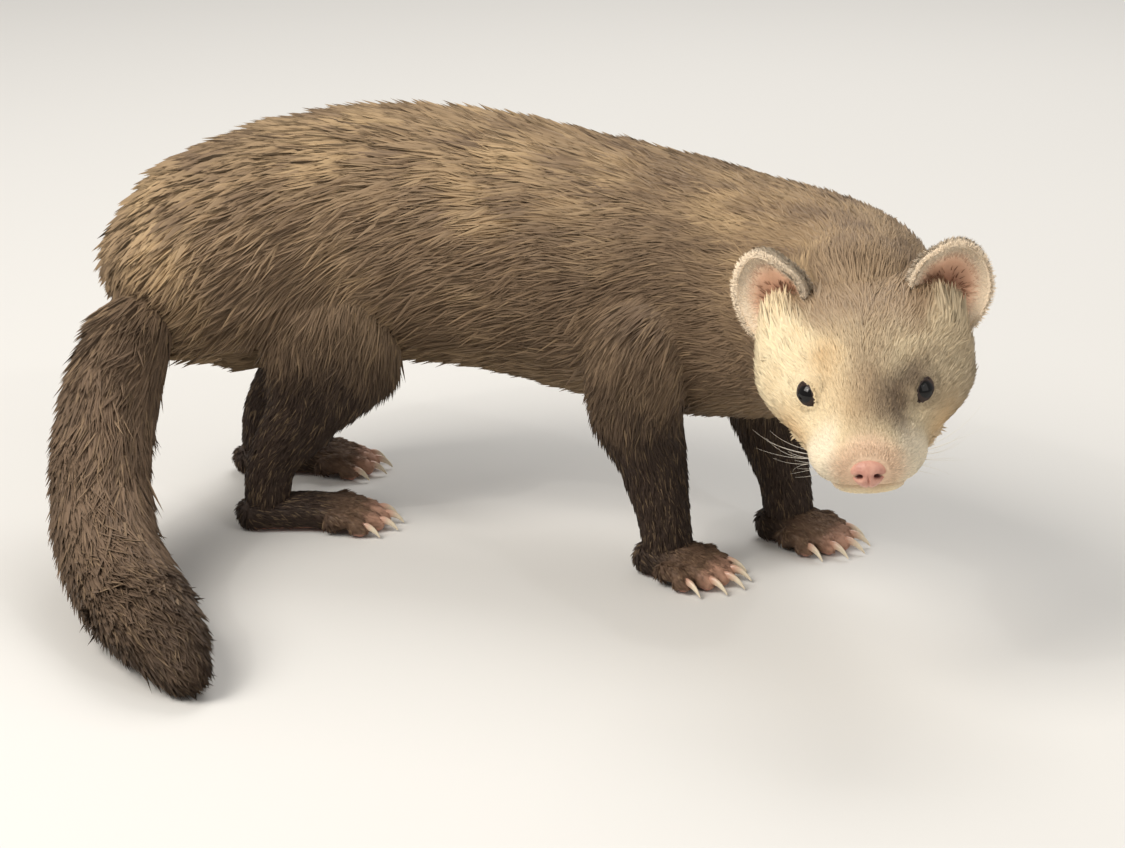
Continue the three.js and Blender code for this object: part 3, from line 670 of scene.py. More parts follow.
def nose():
    """A pad: a ball, narrower below, with a comma nostril sunk in each side and a groove down the
    middle. The last result is how far each point lies in a nostril, which is painted dark as shade."""
    way, _ = ball_grid(84, 120)
    x, y, z = way[..., 0], way[..., 1], way[..., 2]
    p = np.stack([x, y * (0.88 + 0.16 * z), np.where(z > 0, 0.9 * z, z)], -1) * NOSE_HALF
    side, height = np.abs(p[..., 1]), p[..., 2]
    front = smoothstep(x, 0.1, 0.5)
    nostril = side - 2.55
    hole = spot(nostril / 0.95, (height - 0.1 + 0.25 * nostril) / 0.75)
    slit = np.exp(-(((height + 0.55) / 0.38) ** 2)) * smoothstep(side, 2.6, 3.4)
    groove = bell(side, 0, 0.28) * smoothstep(-height, -1.4, 0.4)
    sunk = 2.3 * hole * front + 0.9 * slit * smoothstep(x, -0.2, 0.2) + 0.5 * groove * front
    # painted shade in the nostrils' hollows and slits
    dark = np.clip(hole * front * 1.4 + slit * 0.7, 0, 1)
    points, faces = capped(from_head(p - way * sunk[..., None] + NOSE_PLACE))
    return points, faces, np.append(dark.ravel(), [0, 0])


def from_ear(p, side):
    """An ear's own frame to the head's. The right ear is mirrored in it, so that both are made alike."""
    return (p * [1, side, 1]) @ turned(*EAR_ANGLES[side]).T + EAR_PLACE[side]


def to_ear(points, side):
    """Design points to an ear's own frame."""
    return ((to_head(points) - EAR_PLACE[side]) @ turned(*EAR_ANGLES[side])) * [1, side, 1]


def ear(side):
    """A round cup, open forwards: the profile runs from the middle of the back over the rim and down
    inside, and is turned round the ear's outline, whose lower and inner parts lean back into the head.
    The last result runs from -1 in the middle of the back over 0 at the rim to 1 deep in the cup."""
    deep, wide, high = EAR_SIZE
    steps, around = 40, 112
    out = np.linspace(0.02, 0.5 * np.pi + 0.12, steps)
    rim = np.linspace(0, np.pi, 12)[1:-1]
    funnel = np.linspace(0.99, 0.02, steps)
    share = np.concatenate([np.sin(out), 0.992 - 0.035 * (1 - np.cos(rim)), funnel * 0.922])
    cup = 0.7 - (deep - 2.6) * (1 - funnel**2.2)
    x = np.concatenate([-deep * np.cos(out), 0.85 + 0.35 * np.sin(rim), cup])
    inside = np.concatenate([np.linspace(-1, 0, steps), np.zeros(len(rim)), np.linspace(0.05, 1, steps)])
    turn = circle(around)
    share, x, inside = (np.broadcast_to(v[:, None], (len(v), around)) for v in (share, x, inside))
    c, s = np.cos(turn), np.sin(turn)
    peak = 1 - 0.1 * np.maximum(0, s) ** 3
    narrow = 1 - EAR_NARROW[side] * smoothstep(-s, -0.6, 0.6) * (c < 0)
    y, z = share * c * wide * peak * narrow, share * s * high
    fold = 0.9 * np.maximum(inside, 0) * bell(share, 0.55, 0.16) * bell(np.sin(turn * 1.5 + 0.6), 1, 0.7)
    curl = 0.9 * share**6 * bell(s, 0.2, 0.8)
    buried = 5 * smoothstep(-s, -0.45, 0.4) * smoothstep(-c, 0.3, 0.8) * share
    sunk = 4.6 * smoothstep(-s - 0.8 * c, -0.3, 1.1) * share
    p = np.stack([x + fold + curl - sunk, y, z - buried], -1).reshape(-1, 3)
    points, faces = capped(from_head(from_ear(p, side)).reshape(*share.shape, 3))
    return points, faces, np.append(inside.ravel(), [-1, 1])


# Paws
def paw_frame(name):
    """The place and turn of a paw on the floor."""
    leg, limb = LEGS[name], LEG_LIMBS[name]
    ankle = limb.path.at(np.array([float(limb.last)]))[0][0]
    return ankle * [1, 1, 0] + leg["ahead"] * heading(leg["turn"]), turned(0, 0, leg["turn"])


def toe_lines(paw):
    """Root, direction and length of each toe, in the paw's frame."""
    aside = np.arange(TOES) - (TOES - 1) / 2
    ahead = np.stack([np.cos(aside * paw["spread"]), np.sin(aside * paw["spread"]), 0 * aside], -1)
    root = np.stack([paw["ball"] - 5 - 0.9 * aside**2, aside * paw["wide"] * 0.43, 0 * aside], -1)
    return root, ahead, paw["toe"] * (1 - 0.05 * aside**2)


def paw_skin(kind, place, turn):
    """A palm and five toes, each a limb, joined into one skin; the sole is flat on the floor."""
    paw = PAWS[kind]
    heel, ball, wide, tall = (paw[k] for k in ("heel", "ball", "wide", "tall"))
    palm = Limb([
        [heel, 0, tall * 0.62, wide * 0.72, tall * 0.5, tall * 0.75],
        [(heel + ball) / 2, 0, tall * 0.66, wide * 0.84, tall * 0.52, tall * 0.75],
        [ball - 3, 0, tall * 0.55, wide, tall * 0.42, tall * 0.66],
        [ball + 2, 0, tall * 0.42, wide * 0.88, tall * 0.3, tall * 0.5],
    ], [0, 0, 1])
    parts = [limb_skin(palm, even(0.5), 40, 30)]
    for root, ahead, long in zip(*toe_lines(paw)):
        rows = []
        for share, height, half, drop in TOE_STEPS:
            at = (root + ahead * long * share)[:2]
            rows.append([*at, height, TOE_RADIUS * half, TOE_RADIUS * half * 0.95, TOE_RADIUS * drop])
        parts.append(limb_skin(Limb(rows, [0, 0, 1]), even(0.15), 24, 24, cap=1.6))
    points, faces = together([(p, facing_out(p, f)) for p, f in parts])
    points[:, 2] = np.maximum(points[:, 2], 0)
    points, faces = remeshed(points, faces, voxel=0.55, smoothing=4)
    points[:, 2] = np.maximum(points[:, 2], 0.02)
    return points @ turn.T + place, faces


def claws(name):
    """Curved cones from the toes' tips down to the floor; the last result is the share along each claw."""
    paw = PAWS[name.split("_")[0]]
    place, turn = paw_frame(name)
    parts, shares = [], []
    for root, ahead, long in zip(*toe_lines(paw)):
        start = long * 1.1 + TOE_RADIUS * 0.2
        rows = []
        for share, height, radius in CLAW_STEPS:
            at = (root + ahead * (start + paw["claw"] * share))[:2]
            rows.append([*at, height, radius * 0.7, radius, radius])
        limb = Limb(rows, [0, 0, 1])
        points, faces = limb_skin(limb, even(0.0), 16, 20, cap=0.2)
        parts.append((points @ turn.T + place, facing_out(points, faces)))
        shares.append(np.clip(limb.locate(points)[0] / limb.last, 0, 1))
    return (*together(parts), np.concatenate(shares))


# Colours of coat and skin
def srgb(red, green, blue):
    """A colour given as the eye sees it, 0 to 255, as linear light."""
    value = np.array([red, green, blue]) / 255
    return np.where(value <= 0.04045, value / 12.92, ((value + 0.055) / 1.055) ** 2.4)


TAUPE = srgb(136, 114, 91)
CROWN = srgb(162, 138, 112)
SABLE = srgb(108, 89, 71)
SAND = srgb(190, 162, 124)
UMBER = srgb(60, 47, 39)
TAIL_BROWN = srgb(124, 103, 84)
PALM_BROWN = srgb(112, 88, 70)
CREAM = srgb(247, 229, 192)
GREY_CREAM = srgb(192, 172, 142)
WHITE = srgb(250, 236, 210)
TAN = srgb(216, 182, 136)
# grey-brown of the smudge marking, made darker with painted shade
SMUDGE_AND_SHADE = srgb(92, 75, 61)
WISP = srgb(150, 106, 82)
EAR_PINK = srgb(234, 188, 158)
# cream of the ear rims, made paler with painted light, as if it glowed through the thin ear
EAR_CREAM_LIT = srgb(253, 233, 206)
# pink-brown deep in the ear cup, darkened with painted shade
EAR_DEEP_SHADE = srgb(190, 140, 115)
PINK = srgb(226, 178, 156)
TOE_PINK = srgb(188, 146, 124)
PAD_PINK = srgb(196, 140, 122)


def trunk_colour(p, place, angle):
    """Taupe with sandy patches and more sand along the back as painted light from above, streaked along the
    lie, darker as painted shade at the shoulder, and darker towards the tail."""
    back = smoothstep(np.sin(angle), 0.2, 0.95)
    patches = smoothstep(ripple(p, 46, 3) + 0.5 * ripple(p, 15, 4), -0.4, 1.3)
    lengthwise = np.stack([0.35 * p[:, 0], 0.35 * p[:, 1], 30 * np.sin(angle)], -1)
    streaks = ripple(lengthwise, 6, 6) + 0.6 * ripple(lengthwise, 3, 2)
    # more sand on the back is painted light from above; patches and streaks are the coat's own
    colour = mixed(TAUPE, SAND, np.clip((0.34 * patches + 0.3 * back) * (1 + 0.6 * streaks), 0, 0.9))
    # painted shade: sable over the shoulder, less of it along the back
    shoulder = bell(place, 7.4, 1.7) * (1 - 0.6 * back)
    colour = mixed(colour, SABLE, np.clip(0.75 * shoulder + 0.22 * smoothstep(-streaks, -0.2, 1.2), 0, 1))
    colour = mixed(colour, SAND, 0.3 * smoothstep(-np.sin(angle), 0.6, 1))
    return mixed(colour, SABLE, 0.6 * smoothstep(-place, -1.4, -0.2))


def nape_share(q):
    """0 on the face, 1 where the neck's colour begins: further back on top. q is in the head's frame."""
    return smoothstep(-q[:, 0] - 0.25 * np.clip(q[:, 2], -14, 20) + 2.5 * ripple(q, 13, 19), 11, 31)


def head_colour(q):
    """The face: cream cheeks and brows, a taupe crown that narrows down between the eyes, a grey-brown
    smudge beside and below the left eye, darkened by painted shade there and round that eye, tan at the
    right eye's inner corner, a white muzzle, and pink near the nose. Painted shade also greys and darkens
    the face's left side and makes the lower cheeks tan. q is in the head's frame."""
    x, y, z = q[:, 0], q[:, 1], q[:, 2]
    edge = 1.3 * ripple(q, 11, 7) + 0.7 * ripple(q, 4, 8)  # lets the markings' edges wander
    upper = smoothstep(z, -1, 6)
    crown_half = 3.6 + 14 * smoothstep(-x, -14, 10) + edge
    crown = 1 - smoothstep(np.abs(y - 0.8), crown_half - 4.5, crown_half + 3.5)
    crown = crown * upper * smoothstep(-x, -24, -6)
    bridge = bell(y, 0, 5.5) * smoothstep(x, 4, 14) * upper
    smudge = spot((x - 20) / 9, (y - 6.4 - 0.12 * (x - 20) - 0.5 * edge) / 5.4)
    shade_eye = spot((x - 12) / 6, (y - 12.6) / 5.4) * upper
    inner = spot((x - 8.5) / 6, (y + 9 + 0.4 * edge) / 4) * upper
    lower_cheek_shade = bell(x, 15, 8) * bell(np.abs(y), 17, 5) * bell(z, -4, 6)
    muzzle = smoothstep(x, 19, 27) * smoothstep(np.abs(y), 5, 9.5)
    from_nose = np.linalg.norm((q - NOSE_PLACE - [0, 0, 1]) / (NOSE_HALF + 2.6), axis=1)
    nose_ring = 1 - smoothstep(from_nose, 0.7, 1.45)
    colour = mixed(np.broadcast_to(CREAM, q.shape), TAN, 0.22 * smoothstep(ripple(q, 9, 17), -0.2, 1))
    # greyer and darker on the face's left side: partly the coat's own grey, partly painted shade away from
    # the key light
    colour = mixed(colour, GREY_CREAM, 0.7 * smoothstep(y, 6, 16) * smoothstep(-x, -24, -12))
    colour = mixed(colour, TAUPE, 0.45 * smoothstep(y, 13, 20) * smoothstep(-z, -8, 6))
    # painted shade: tan over the lower sides and the lower cheeks
    colour = mixed(colour, TAN, 0.45 * smoothstep(-z, 0, 9) * smoothstep(np.abs(y), 9, 16))
    colour = mixed(colour, TAN, 0.85 * lower_cheek_shade)
    colour = mixed(colour, TAN, 0.6 * bell(y, -2, 9) * bell(x, 19, 8) * upper)
    colour = mixed(colour, CROWN, 0.6 * bridge)
    colour = mixed(colour, CROWN, (0.95 - 0.3 * smoothstep(x, -8, 6)) * crown)
    colour = mixed(colour, TAN, 0.75 * inner)
    colour = mixed(colour, WHITE, 0.9 * muzzle)
    # the smudge marking darkened with painted shade; shade_eye is painted shade round the left eye
    colour = mixed(colour, SMUDGE_AND_SHADE, np.clip(0.9 * smudge * smoothstep(z, -7, 1) + 0.8 * shade_eye, 0, 0.92))
    colour = mixed(colour, TAUPE, nape_share(q))
    colour = mixed(colour, PINK, 0.5 * nose_ring)
    lips = bell(z, mouth_height(x), 1.2) * smoothstep(x, 6, 12)
    return mixed(colour, PINK * 0.7, 0.45 * lips)


def leg_colour(p, place):
    """Taupe and sable above, dark brown from elbow or knee down."""
    top = mixed(TAUPE, SABLE, 0.6 + 0.3 * ripple(p, 12, 9))
    return mixed(top, UMBER, smoothstep(place + 0.25 * ripple(p, 12, 10), 0.9, 2.6))


def tail_colour(p, place):
    """Sable at the root, dark brown from there on, with lighter streaks."""
    colour = mixed(SABLE, TAIL_BROWN, smoothstep(place, 0.5, 3))
    return mixed(colour, UMBER, 0.6 * smoothstep(place, 3.5, 8) + 0.1 * ripple(p, 9, 12))


def nearest_limb(p):
    """For points near the body: every limb's place, angle and ratio, with the index of the closest
    limb."""
    found = [limb.locate(p) for limb in LIMBS.values()]
    ratios = np.stack([ratio for *_, ratio in found])
    return found, ratios, np.argmin(ratios, axis=0)


def limb_shares(ratios, sharpness):
    """Each limb's share at each point, by how near its surface is."""
    share = np.exp(-sharpness * (ratios - ratios.min(0)))
    return share / share.sum(0)


def body_colour(p, found, ratios):
    """The colours of trunk, tail and legs, blended where they meet, and the head's over the nape."""
    colours = [trunk_colour(p, *found[0][:2]), tail_colour(p, found[1][0])]
    colours += [leg_colour(p, place) for place, *_ in found[2:]]
    colour = sum(c * s[:, None] for c, s in zip(colours, limb_shares(ratios, 9)))
    q = to_head(p)
    near_head = smoothstep(found[0][0], 8.8, 9.8) * (ratios.argmin(0) == 0)
    return mixed(colour, head_colour(q), near_head * (1 - nape_share(q)))


def paw_colour(q, kind):
    """Dark brown at the wrist, brown over the palm, pinkish tan on the toes and pink beneath."""
    ball = PAWS[kind]["ball"]
    colour = mixed(UMBER, PALM_BROWN, smoothstep(q[:, 0], ball - 16, ball - 2))
    colour = mixed(colour, TOE_PINK, 0.8 * smoothstep(q[:, 0] + 1.2 * ripple(q, 6, 15), ball - 1, ball + 5))
    return mixed(colour, PAD_PINK, 0.8 * (1 - smoothstep(q[:, 2], 0.6, 1.8)))


# Coat: thousands of thin closed blades rooted on the skin
BODY_TUFTS = 236000
HEAD_TUFTS = 88000
EAR_TUFTS = 11500
PAW_TUFTS = 4000
WHISKER_RADIUS = 0.048
BEND = 0.1  # how far blades bend aside, as a share of their length
PATCH = 0.003  # size of a blade's own patch on the chart
FLOOR_GAP = 0.8  # height below which the coat is pressed together over the floor
# Rings of a blade between its two pointed ends: share of the length, share of the width
LONG_BLADE = np.array([[0.26, 1], [0.68, 0.74]])
SHORT_BLADE = np.array([[0.38, 1]])


def triangles(faces):
    """Quads as triangles."""
    return np.vstack([faces[:, [0, 1, 2]], faces[:, [0, 2, 3]]])


def scattered(points, faces, weight, count):
    """Random places on a surface, more where weight is high: points and smooth normals."""
    tri = triangles(faces)
    a, b, c = (points[tri[:, k]] for k in range(3))
    cross = np.cross(b - a, c - a)
    normals = np.zeros_like(points)
    for k in range(3):
        np.add.at(normals, tri[:, k], cross)
    area = np.linalg.norm(cross, axis=1) * weight[tri].mean(1)
    chosen = rng.choice(len(tri), count, p=area / area.sum())
    u, v = rng.random((2, count, 1))
    u, v = np.where(u + v > 1, 1 - u, u), np.where(u + v > 1, 1 - v, v)
    place = points[tri[chosen]]
    root = place[:, 0] + u * (place[:, 1] - place[:, 0]) + v * (place[:, 2] - place[:, 0])
    facing = normals[tri[chosen]]
    facing = unit(facing[:, 0] + u * (facing[:, 1] - facing[:, 0]) + v * (facing[:, 2] - facing[:, 0]))
    return root, facing


def blades(root, normal, lie, length, width, lift, clump, blade, lit):
    """Thin blades, pointed at both ends, flat above and keeled below, that leave the skin at a slope and
    bend down along the lie. Tips are drawn towards the tip of the nearest of a few leaders, which gathers
    the coat into locks. Points, faces and the shading normals: lit, rounded a little across each blade."""
    n, rings = len(root), len(blade)
    lie = unit(lie - normal * dot(lie, normal)[:, None])
    side = np.cross(lie, normal)
    bend = BEND * rng.normal(size=n) * length
    gather = np.zeros_like(root)
    if clump > 0:
        leaders = rng.choice(n, max(1, n // 20), replace=False)
        ends = root + lie * length[:, None]
        gather = clump * (ends[leaders][nearest(root, root[leaders])] - ends)
        gather *= np.minimum(1, 0.4 * length / np.maximum(np.linalg.norm(gather, axis=1), 1e-6))[:, None]

    def middle(share):
        """The middle line of every blade at a share of its length."""
        rise = lift * length * (share - 0.55 * share**2)
        steps = np.stack([length * share, rise, bend * share**2], -1)[:, None]
        return (root + gather * share**1.6)[:, None] + steps @ np.stack([lie, normal, side], 1)

    rows, shading = [(root - 0.5 * normal)[:, None]], [lit[:, None]]
    roll = 0.22 * rng.normal(size=(n, 1)) * side
    for share, fat in blade:
        half = side * (0.5 * width * fat)[:, None]
        rows.append(middle(share) + np.stack([-half, half], 1))
        shading.append(unit((lit + roll)[:, None] + 0.3 * np.stack([-side, side], 1)))
    rows.append(middle(1.0))
    shading.append(unit(lit + roll + 0.15 * lie)[:, None])
    points = np.concatenate(rows, 1)
    left, right = (np.array([0, *range(k, 2 * rings + k, 2), 2 * rings + 1]) for k in (1, 2))
    top = [[left[k], right[k], right[k + 1], left[k + 1]] for k in range(1, rings)]
    ends = [[0, 2, 1, 1], [left[-2], right[-2], left[-1], left[-1]]]
    keel = [[0, left[k], left[k + 1], left[k + 1]] for k in range(1, rings + 1)]
    keel += [[0, right[k + 1], right[k], right[k]] for k in range(1, rings + 1)]
    every = (np.arange(n)[:, None, None] * points.shape[1] + np.array(top + ends + keel)).reshape(-1, 4)
    return points.reshape(-1, 3), every, np.concatenate(shading, 1).reshape(-1, 3)


def off_floor(points):
    """Points near or under the floor, pressed together just above it without folding over."""
    z = points[:, 2]
    pressed = FLOOR_GAP * np.exp(np.minimum(z / FLOOR_GAP - 1, 0))
    return np.column_stack([points[:, :2], np.where(z < FLOOR_GAP, pressed, z)])


def flattened(length, lie, normal):
    """Lengths cut where the lie runs into or out of the skin and blades would stand like spikes."""
    return length * (1 - 0.75 * smoothstep(np.abs(dot(unit(lie), normal)), 0.55, 0.9))


def coat(name, root, normal, lie, length, width, lift, colour, chart, blade, slot, clump=0.0, lit=None):
    """One coat piece. Each blade's UV patch is small and lies at its root's place on the chart. Light
    falls on it as on the skin below, or as on a surface with the normals lit."""
    lit = normal if lit is None else lit
    points, faces, shading = blades(root, normal, lie, length, width, lift, clump, blade, lit)
    points = off_floor(points)
    shares = np.concatenate([[0], np.repeat(blade[:, 0], 2), [1]])
    across = np.concatenate([[0], np.tile([-1, 1], len(blade)), [0]])
    n, per = len(root), len(shares)
    tone = 0.5 + 0.14 * rng.normal(size=n)
    strand = np.stack([np.tile(shares, n), np.repeat(tone, per), np.repeat(rng.random(n), per)], -1)
    patch = PATCH * np.stack([0.5 * across, shares - 0.5], -1)
    uv = np.repeat(PATCH + (1 - 2 * PATCH) * np.clip(chart, 0, 1), per, axis=0) + np.tile(patch, (n, 1))
    put(name, points, faces, COAT, slot, (), np.repeat(colour, per, axis=0), strand, uv, shading)


def inside_head(p):
    """True for points well inside the head's skin."""
    q = to_head(p)
    near = (np.abs(q[:, 0]) < 40) & (np.abs(q[:, 1]) < 32) & (np.abs(q[:, 2]) < 26)
    return near & (head_value(np.clip(q, [-42, -40, -40], [33, 40, 40])) < 0.94)


# The body's coat pieces: name, number of the limb, and the stations where the piece starts and ends
TRUNK_CUTS = (0, 2.6, 5.4, 8.2, 12)
TAIL_CUTS = (0, 3.3, 8.6)
BODY_COATS = [
    *zip(("hips", "loin", "chest", "neck"), [0] * 4, TRUNK_CUTS, TRUNK_CUTS[1:]),
    *zip(("tail_base", "tail_end"), [1] * 2, TAIL_CUTS, TAIL_CUTS[1:]),
    *(("leg_" + leg, number, 0, 5) for number, leg in enumerate(LEGS, 2)),
]


def body_lie(root, found, share, closest):
    """The lie of the body's coat: back along the trunk and down its sides, out along tail and legs, and
    as on the head beside it."""
    lie = np.zeros_like(root)
    for k, (limb, (place, angle, _)) in enumerate(zip(LIMBS.values(), found)):
        along = limb.frame(place)[1]
        droop = 0.34 * np.abs(np.cos(angle)) * smoothstep(-place, -9, -4) + 0.12
        way = along if k else -along - droop[:, None] * [0, 0, 1]
        lie += way * share[k][:, None]
    by_head = smoothstep(to_head(root)[:, 0], -42, -24) * (found[0][0] > 8.5) * (closest == 0)
    lie = mixed(unit(lie), HEAD @ [-1, 0, 0.25], by_head)
    return unit(lie) + 0.15 * wander(root, 16, 20) + 0.1 * rng.normal(size=lie.shape)


def body_coat(points, faces):
    """Coat over trunk, tail and legs, in one piece for each named part of the body."""
    found, ratios, closest = nearest_limb(points)
    place = found[0][0]
    # more, smaller tufts on chest, neck and legs than on the long coat behind
    weight = np.where(closest == 0, 1 + 0.6 * smoothstep(place, 5, 7), np.where(closest == 1, 1.9, 1.6))
    root, normal = scattered(points, faces, weight, BODY_TUFTS)
    keep = ~inside_head(root)
    keep &= ~((root[:, 2] < 9.5) & ~(TAIL.locate(root)[2] < 1.2))
    root, normal = root[keep], normal[keep]
    found, ratios, closest = nearest_limb(root)
    share = limb_shares(ratios, 7)
    colour = body_colour(root, found, ratios)
    lie = body_lie(root, found, share, closest)
    (trunk_place, trunk_angle, _), (tail_place, *_) = found[:2]
    rear = 1 - smoothstep(trunk_place, 4.6, 8.6)
    under = smoothstep(-np.sin(trunk_angle), 0.6, 0.95) * smoothstep(trunk_place, 1, 2)
    nape = smoothstep(trunk_place, 9.4, 10.8)
    trunk_length = 9.5 + 7 * rear * (1 - 0.5 * under) - 2 * smoothstep(-trunk_place, -1.6, 0) - 2 * nape
    leg_length = 12 - 8.2 * smoothstep(np.stack([place for place, *_ in found[2:]]), 0.8, 4)
    tail_length = 14 + 3 * bell(tail_place, 4, 3) - 4.5 * smoothstep(tail_place, 6.4, 8.4)
    length = (np.vstack([trunk_length, tail_length, leg_length]) * share).sum(0)
    length = flattened(length * rng.uniform(0.72, 1.18, len(root)), lie, normal)
    lifts = np.full(share.shape, 0.42)
    lifts[0] = 0.46 + 0.1 * rear - 0.15 * nape
    lift = (lifts * share).sum(0) * rng.uniform(0.6, 1.35, len(root))
    region = np.where(closest == 1, 4 + (tail_place > TAIL_CUTS[1]), 4 + closest)
    region = np.where(closest == 0, np.digitize(trunk_place, TRUNK_CUTS[1:-1]), region)
    for number, (part, limb, low, high) in enumerate(BODY_COATS):
        mine = region == number
        place, angle, _ = found[limb]
        coat(
            "coat_" + part, root[mine], normal[mine], lie[mine], length[mine], 0.24 + 0.018 * length[mine],
            lift[mine], colour[mine],
            np.stack([(place[mine] - low) / (high - low), angle[mine] / (2 * np.pi) + 0.5], -1),
            LONG_BLADE if part == "hips" else SHORT_BLADE, "dark_coat" if limb else "body_coat",
            clump=0.12 if limb == 1 else 0.25,
        )


def by_eyes(q):
    """For points on the head: the lesser of the two eyes' opening shares, 9 far away, and near an eye the
    direction away from its middle and the direction it looks in."""
    open_share = np.full(len(q), 9.0)
    off_eye, look_way = np.zeros_like(q), np.zeros_like(q)
    for side in (1, -1):
        centre, slant, cross, look = eye_axes(side)
        away = q - centre
        share = np.where(away @ look > -1, opening_share(away @ slant, away @ cross), 9.0)
        close = (share < 4)[:, None]
        off_eye = np.where(close, unit(away), off_eye)
        look_way = np.where(close, look, look_way)
        open_share = np.minimum(open_share, share)
    return open_share, off_eye, look_way


def head_lie(q, open_share, off_eye, ear_front):
    """The lie of the head's coat, in the head's frame: back from the nose, round the eyes, and up before
    the ears."""
    x, y, z = q.T
    way = unit(q - [38, 0, -6])
    way = mixed(way, np.array([-1.0, 0, 0]), 0.5 * smoothstep(-x, -14, 10))
    droop = np.stack([0 * x, 0.18 * np.sign(y), -0.3 * smoothstep(-z, -4, 10)], -1)
    way = way + droop * smoothstep(-x, -22, 0)[:, None]
    way = mixed(unit(way), off_eye, 0.8 * (1 - smoothstep(open_share, 1.3, 2.4)))
    ear_place = np.where((y > 0)[:, None], EAR_PLACE[1], EAR_PLACE[-1])
    way = mixed(way, unit(ear_place + [0, 0, 4] - q), 0.85 * ear_front)
    return unit(way) + 0.16 * wander(q, 8, 30) + 0.13 * rng.normal(size=q.shape)


def head_coat(points, faces):
    """Coat over the head: shortest at the nose, flowing back from it and round the eyes, longer on
    cheeks and nape, and standing up before the ears."""
    q = to_head(points)
    weight = 1 + 1.1 * smoothstep(q[:, 0], 4, 22) - 0.35 * smoothstep(-q[:, 0], 14, 26)
    root, normal = scattered(points, faces, weight, HEAD_TUFTS)
    q = to_head(root)
    x, y, z = q.T
    open_share, off_eye, look_way = by_eyes(q)
    keep = (((q - NOSE_PLACE) / (NOSE_HALF + 0.15)) ** 2).sum(1) > 1
    keep &= (np.abs(z - mouth_height(x)) > 0.5) | (x < 5)
    keep &= (SPINE.locate(root)[2] > 0.82) & (open_share > 1.1)
    root, normal, q = root[keep], normal[keep], q[keep]
    open_share, off_eye, look_way = open_share[keep], off_eye[keep], look_way[keep]
    x, y, z = q.T
    ear_front = bell(x, -9, 6) * bell(np.abs(y), 20, 7.5) * smoothstep(z, 2, 9)
    lie = head_lie(q, open_share, off_eye, ear_front) @ HEAD.T
    length = 1.3 + 1.5 * smoothstep(-x, -26, -12) + 2.2 * smoothstep(-x, -12, 6)
    length = length + 4.6 * smoothstep(-x, 4, 24)
    length = length + 1.8 * bell(x, -15, 5) * bell(np.abs(y), 12, 4)
    length = length + 3.8 * ear_front + 2.2 * bell(x, -8, 10) * smoothstep(-z, -3, 8)
    length = length * (0.4 + 0.6 * smoothstep(open_share, 1.1, 2.6))
    length = length + 1.7 * bell(x, 4, 9) * smoothstep(np.abs(y), 11, 17)
    length = flattened(length * rng.uniform(0.7, 1.2, len(root)), lie, normal)
    width = 0.18 + 0.036 * length
    lift = (0.4 + 0.22 * ear_front + 0.1 * smoothstep(-x, -4, 12)) * rng.uniform(0.6, 1.35, len(root))
    lift = lift * (0.3 + 0.7 * smoothstep(open_share, 1.2, 2.2))
    lit = unit(normal + 1.3 * (1 - smoothstep(open_share, 1.4, 2.8))[:, None] * (look_way @ HEAD.T))
    by_mouth = bell(z, mouth_height(x), 3.2) * smoothstep(x, -4, 2)
    length, lift = length * (1 - 0.55 * by_mouth), lift * (1 - 0.7 * by_mouth)
    colour = head_colour(q)
    rise = np.arctan2(z - head_axis(x), y)
    chart = np.stack([(x + 42) / 78, rise / (2 * np.pi) + 0.5], -1)
    face, above = x > 6, rise > 0
    for part, mine in (("face", face), ("crown", ~face & above), ("cheeks", ~face & ~above)):
        coat(
            "coat_" + part, root[mine], normal[mine], lie[mine], length[mine], width[mine], lift[mine],
            colour[mine], chart[mine], SHORT_BLADE, "pale_coat", clump=0.2, lit=lit[mine],
        )


def ear_colour(points, depth):
    """Pale fur over the rim, paler still with painted light, browner on the back, and skin in the cup,
    darkened with painted shade deep in it and lower down.
    """
    outside = mixed(EAR_CREAM_LIT, TAUPE, 0.6 * smoothstep(-depth, 0.3, 0.8))
    # painted shade: the cup's skin darkens deeper in and lower down
    inside = mixed(EAR_PINK, EAR_DEEP_SHADE, smoothstep(depth - 0.02 * points[:, 2], 0.3, 0.95))
    return mixed(outside, inside, smoothstep(depth, 0.16, 0.5))


